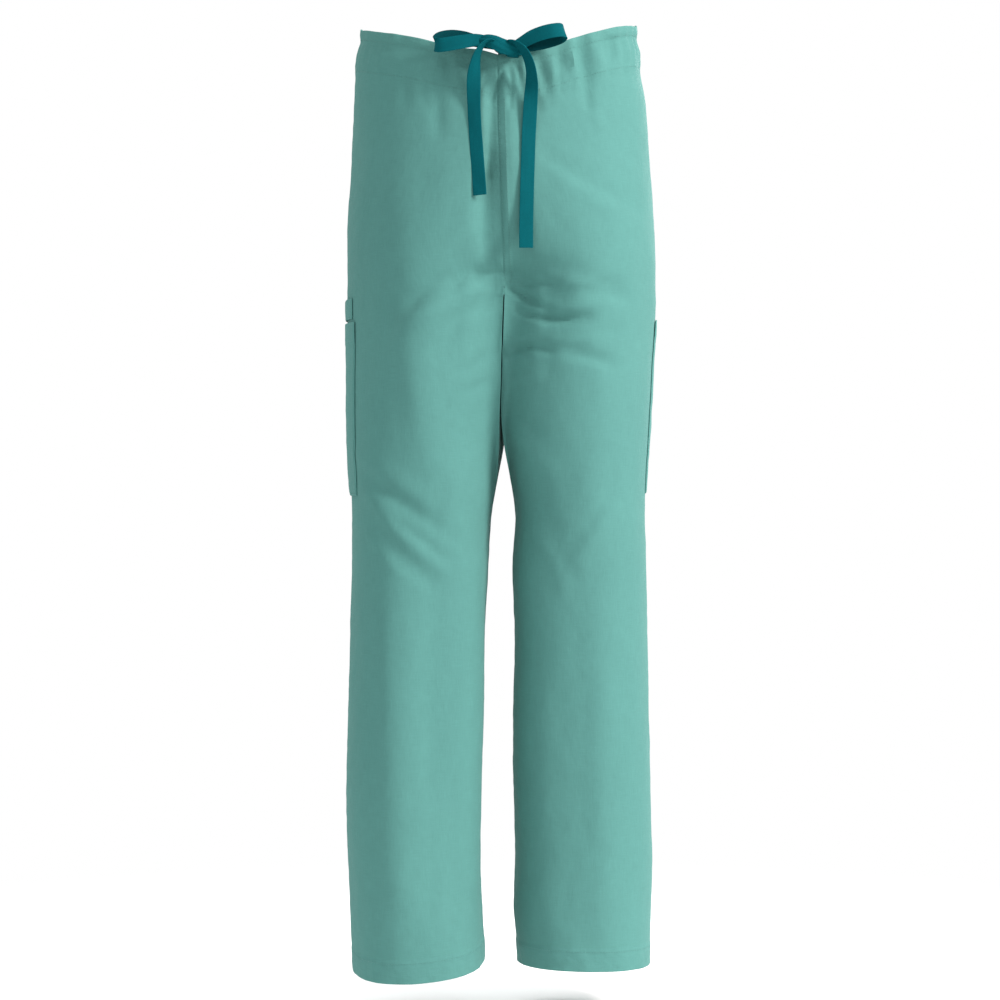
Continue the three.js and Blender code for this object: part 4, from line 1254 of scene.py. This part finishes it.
def tie_end(side):
    """One hanging end of the drawstring, cut straight."""
    rows = ENDS[side]
    middle, where, ahead = tape_line(rows, 110)
    turn = np.radians(column_along(rows, "turn", where))[:, None]
    start = unit(np.cross(ahead, np.array([0.0, -1.0, 0.0])))
    across = start * np.cos(turn) + np.cross(ahead, start) * np.sin(turn)
    facing = np.cross(across, ahead)
    width, cup = TAPE_WIDTH * mix(0.62, 1, smooth(where / 4)), 0.25 + 0.5 * (1 - smooth(where / 3))
    piece = ribbon(f"tied_end_{SIDE_NAMES[side]}", middle, across, facing, width, cup, 1000 + 500 * side)
    dress(piece, finish_named("teal_tape"), "tape", f"drawstring_end_{SIDE_NAMES[side]}")
    path = middle * MM
    return piece


def tie_knot():
    """The knot: pleated roots of the loops with the middle wrap of the tape over them, aslant."""
    k = KNOT
    fresh("tied_knot")
    bpy.ops.mesh.primitive_uv_sphere_add(segments=56, ring_count=36, radius=1)
    piece = bpy.context.object
    piece.name = piece.data.name = "tied_knot"
    p = corner_points(piece.data)
    p = np.sign(p) * np.abs(p) ** 0.65
    slanted = p[:, 0] + 0.42 * p[:, 2]
    wrap = smooth((0.52 - np.abs(slanted + 0.05)) / 0.12)
    pleats = (1 - wrap) * 0.07 * np.cos(9 * p[:, 2] + 3 * p[:, 0] + 2 * p[:, 1])
    rim = 0.05 * bell((np.abs(slanted + 0.05) - 0.42) / 0.1)
    groove = -0.1 * bell((np.abs(slanted + 0.05) - 0.56) / 0.07)
    swell = 0.9 + 0.1 * wrap + pleats * 0.7 + rim * 0.6 + groove
    waist = 1 - 0.1 * bell((np.abs(slanted) - 0.6) / 0.3) * (1 - wrap)
    placed = np.stack([
        k["x"] + k["half_width"] * p[:, 0],
        k["y"] + k["half_depth"] * p[:, 1] * swell * waist,
        k["z"] + k["half_height"] * p[:, 2] * swell * waist - 3 * p[:, 0],
    ], -1)
    piece.data.vertices.foreach_set("co", (placed * MM).ravel())
    turn = np.arctan2(p[:, 2], -p[:, 1])
    lay_flat(piece.data, np.stack([mix(p[:, 2] * 8, slanted * 14, wrap), mix(p[:, 0] * 16, turn * 9, wrap)], -1))
    piece.data.update()
    bpy.ops.object.shade_smooth()
    dress(piece, finish_named("teal_tape"), "tape", "drawstring_knot")
    middle, where, ahead = tape_line(KNOT_WRAP, 60)
    across = square_to(ahead, np.array([0.25, 0.12, 1.0]))
    facing = np.cross(ahead, across)
    facing = facing * -np.sign(facing[:, 1:2])

    def pleats(run, share):
        return 0.5 * np.cos(17 * share + run / 9) * bell(share / 0.4) - 5 * np.abs(share) ** 3

    wrap = ribbon("knot_wrap", middle, across, facing, column_along(KNOT_WRAP, "width", where), np.full(60, 2.2), 1800,
                  pleats)
    dress(wrap, finish_named("teal_tape"), "tape")
    return piece


def tape_leads():
    """The two short lengths of tape that come up out of the casing behind the knot."""
    for side, x in ((RIGHT, 1.5), (LEFT, 13.5)):
        middle, _, ahead = tape_line(table("x y z", [
            [x + 5 * side, -105.5, -34], [x + 3 * side, -105.8, -22], [x + side, -107.5, -14],
            [x, -111.5, -10.6], [x, -116, -9.6], [x, -118.6, -8.8],
        ]), 24)
        across = unit(np.cross(ahead, np.array([0.0, -1.0, 0.3])))
        facing = np.cross(across, ahead)
        width, cup = np.full(24, 10.0), np.full(24, 0.4)
        piece = ribbon(f"tape_lead_{SIDE_NAMES[side]}", middle, across, facing, width, cup, 2500)
        dress(piece, finish_named("teal_tape"), "tape")


# Settings and operators

CAMERA = {"place": (-0.0012, -3.2, -0.52), "lens": 97.2, "sensor": 36}
FLOOR_LEVEL = -1.12
LIGHTS = (  # name, place, size, power and colour
    ("key_light", (2.6, -1.65, 1.15), 1.0, 175, (1, 0.89, 0.87)),
    ("back_light", (1.1, 2.4, 0.9), 1.2, 55, (1, 1, 1)),
)
LIT_SPOT = (0.0, 0.0, -0.5)


class ScrubSizes(bpy.types.PropertyGroup):
    cloth_thickness: FloatProperty(name="Cloth", description="Thickness of one layer of the cloth", default=0.0008,
                                   min=0.0002, max=0.002, unit="LENGTH")
    stitch_length: FloatProperty(name="Stitch", description="Length of one stitch", default=0.0025,
                                 min=0.001, max=0.006, unit="LENGTH")
    stitch_gap: FloatProperty(name="Stitch gap", description="Space between two stitches", default=0.0008,
                              min=0.0002, max=0.003, unit="LENGTH")
    floor_radius: FloatProperty(name="Floor", description="Radius of the studio floor", default=1.6,
                                min=0.5, max=5.0, unit="LENGTH")
    floor_sides: IntProperty(name="Floor sides", description="Corners round the studio floor", default=96,
                             min=24, max=256)


class ScrubColours(bpy.types.PropertyGroup):
    cloth: FloatVectorProperty(name="Cloth", description="Jade of the poplin", default=(0.077, 0.224, 0.204),
                               subtype="COLOR", min=0, max=1)
    tape: FloatVectorProperty(name="Drawstring", description="Teal of the woven tape", default=(0.001, 0.086, 0.102),
                              subtype="COLOR", min=0, max=1)
    thread: FloatVectorProperty(name="Thread", description="Colour of the sewing thread", default=(0.072, 0.224, 0.204),
                                subtype="COLOR", min=0, max=1)


class SCRUBS_OT_camera(bpy.types.Operator):
    """Place the camera where the photograph was taken from"""

    bl_idname = "scrubs.camera"
    bl_label = "Camera"

    def execute(self, context):
        bpy.ops.object.select_all(action="DESELECT")
        bpy.ops.object.camera_add(location=CAMERA["place"], rotation=(math.radians(90), 0, 0))
        camera = context.object
        camera.name = "front_camera"
        camera.data.sensor_width = CAMERA["sensor"]
        camera.data.lens = CAMERA["lens"]
        context.scene.camera = camera
        return {"FINISHED"}


class SCRUBS_OT_drawstring(bpy.types.Operator):
    """Tie the drawstring in its bow"""

    bl_idname = "scrubs.drawstring"
    bl_label = "Drawstring"

    def execute(self, context):
        for side in (RIGHT, LEFT):
            tie_end(side)
            tie_loop(side)
        tie_knot()
        tape_leads()
        return {"FINISHED"}


class SCRUBS_OT_panels(bpy.types.Operator):
    """Sew the four trouser panels"""

    bl_idname = "scrubs.panels"
    bl_label = "Panels"

    def execute(self, context):
        for side in (RIGHT, LEFT):
            for face in (FRONT, BACK):
                sew_panel(side, face)
        return {"FINISHED"}


class SCRUBS_OT_pockets(bpy.types.Operator):
    """Sew on both cargo pockets and the tool loop"""

    bl_idname = "scrubs.pockets"
    bl_label = "Pockets"

    def execute(self, context):
        for side in (RIGHT, LEFT):
            sew_pocket(side)
        sew_tool_loop()
        return {"FINISHED"}


class SCRUBS_OT_stitches(bpy.types.Operator):
    """Lay the rows of stitches on the casing, the hems, the centre seam and the pockets"""

    bl_idname = "scrubs.stitches"
    bl_label = "Stitches"

    def execute(self, context):
        sizes = context.scene.scrub_sizes
        both = [(side, face) for side in (RIGHT, LEFT) for face in (FRONT, BACK)]
        groups = {
            "stitches_casing": [level_line(*which, level) for which in both for level in (CASING_STITCH, HEADER_LINE)],
            "stitches_hems": [level_line(*which, HEM_STITCH) for which in both],
            "stitches_centre": [upright_line(LEFT, FRONT, CASING_FOOT - 2, CROTCH + 14, reach)
                                for reach in CENTRE_ROWS],
            "stitches_pockets": [line for side in (RIGHT, LEFT) for line in pocket_lines(side)],
            "stitches_tool_loop": loop_lines(),
        }
        for name, lines in groups.items():
            stitched(name, lines, sizes.stitch_length / MM, sizes.stitch_gap / MM)
        return {"FINISHED"}


class SCRUBS_OT_stage(bpy.types.Operator):
    """Lay the pale floor and set the soft studio light"""

    bl_idname = "scrubs.stage"
    bl_label = "Stage"

    def execute(self, context):
        sizes = context.scene.scrub_sizes
        bpy.ops.object.select_all(action="DESELECT")
        bpy.ops.mesh.primitive_circle_add(vertices=sizes.floor_sides, radius=sizes.floor_radius, fill_type="NGON",
                                          location=(0, 0, FLOOR_LEVEL))
        floor = context.object
        bpy.ops.object.transform_apply(location=True, rotation=False, scale=False)
        floor.name = floor.data.name = "studio_floor"
        floor.data.materials.append(finish_named("studio_floor"))
        for name, place, size, power, colour in LIGHTS:
            bpy.ops.object.light_add(type="AREA", location=place)
            light = context.object
            light.name = name
            light.data.shape = "DISK"
            light.data.size = size
            light.data.energy = power
            light.data.color = colour
            aim = np.array(LIT_SPOT) - np.array(place)
            tilt, turn = math.atan2(math.hypot(aim[0], aim[1]), -aim[2]), math.atan2(aim[1], aim[0])
            light.rotation_euler = (tilt, 0, turn - math.pi / 2)
        world = bpy.data.worlds.new("studio_air")
        world.use_nodes = True
        world.node_tree.nodes["Background"].inputs["Color"].default_value = (1, 1, 1, 1)
        world.node_tree.nodes["Background"].inputs["Strength"].default_value = 1.0
        context.scene.world = world
        context.scene.view_settings.view_transform = "Standard"
        return {"FINISHED"}


class SCRUBS_PT_panel(bpy.types.Panel):
    """The trousers' sizes, colours and steps"""

    bl_idname = "SCRUBS_PT_panel"
    bl_label = "Scrub Trousers"
    bl_space_type = "VIEW_3D"
    bl_region_type = "UI"
    bl_category = "Scrubs"

    def draw(self, context):
        layout = self.layout
        for group in (context.scene.scrub_sizes, context.scene.scrub_colours):
            for name in group.__annotations__:
                layout.prop(group, name)
        for step in STEPS:
            layout.operator(step.bl_idname)


STEPS = (SCRUBS_OT_camera, SCRUBS_OT_drawstring, SCRUBS_OT_panels, SCRUBS_OT_pockets, SCRUBS_OT_stitches,
         SCRUBS_OT_stage)
CLASSES = (ScrubSizes, ScrubColours, *STEPS, SCRUBS_PT_panel)


def register():
    for entry in CLASSES:
        bpy.utils.register_class(entry)
    bpy.types.Scene.scrub_sizes = PointerProperty(type=ScrubSizes)
    bpy.types.Scene.scrub_colours = PointerProperty(type=ScrubColours)


def unregister():
    del bpy.types.Scene.scrub_colours
    del bpy.types.Scene.scrub_sizes
    for entry in reversed(CLASSES):
        bpy.utils.unregister_class(entry)


def main():
    register()
    bpy.ops.scrubs.camera()
    bpy.ops.scrubs.drawstring()
    bpy.ops.scrubs.panels()
    bpy.ops.scrubs.pockets()
    bpy.ops.scrubs.stitches()
    bpy.ops.scrubs.stage()


if __name__ == "__main__":
    main()
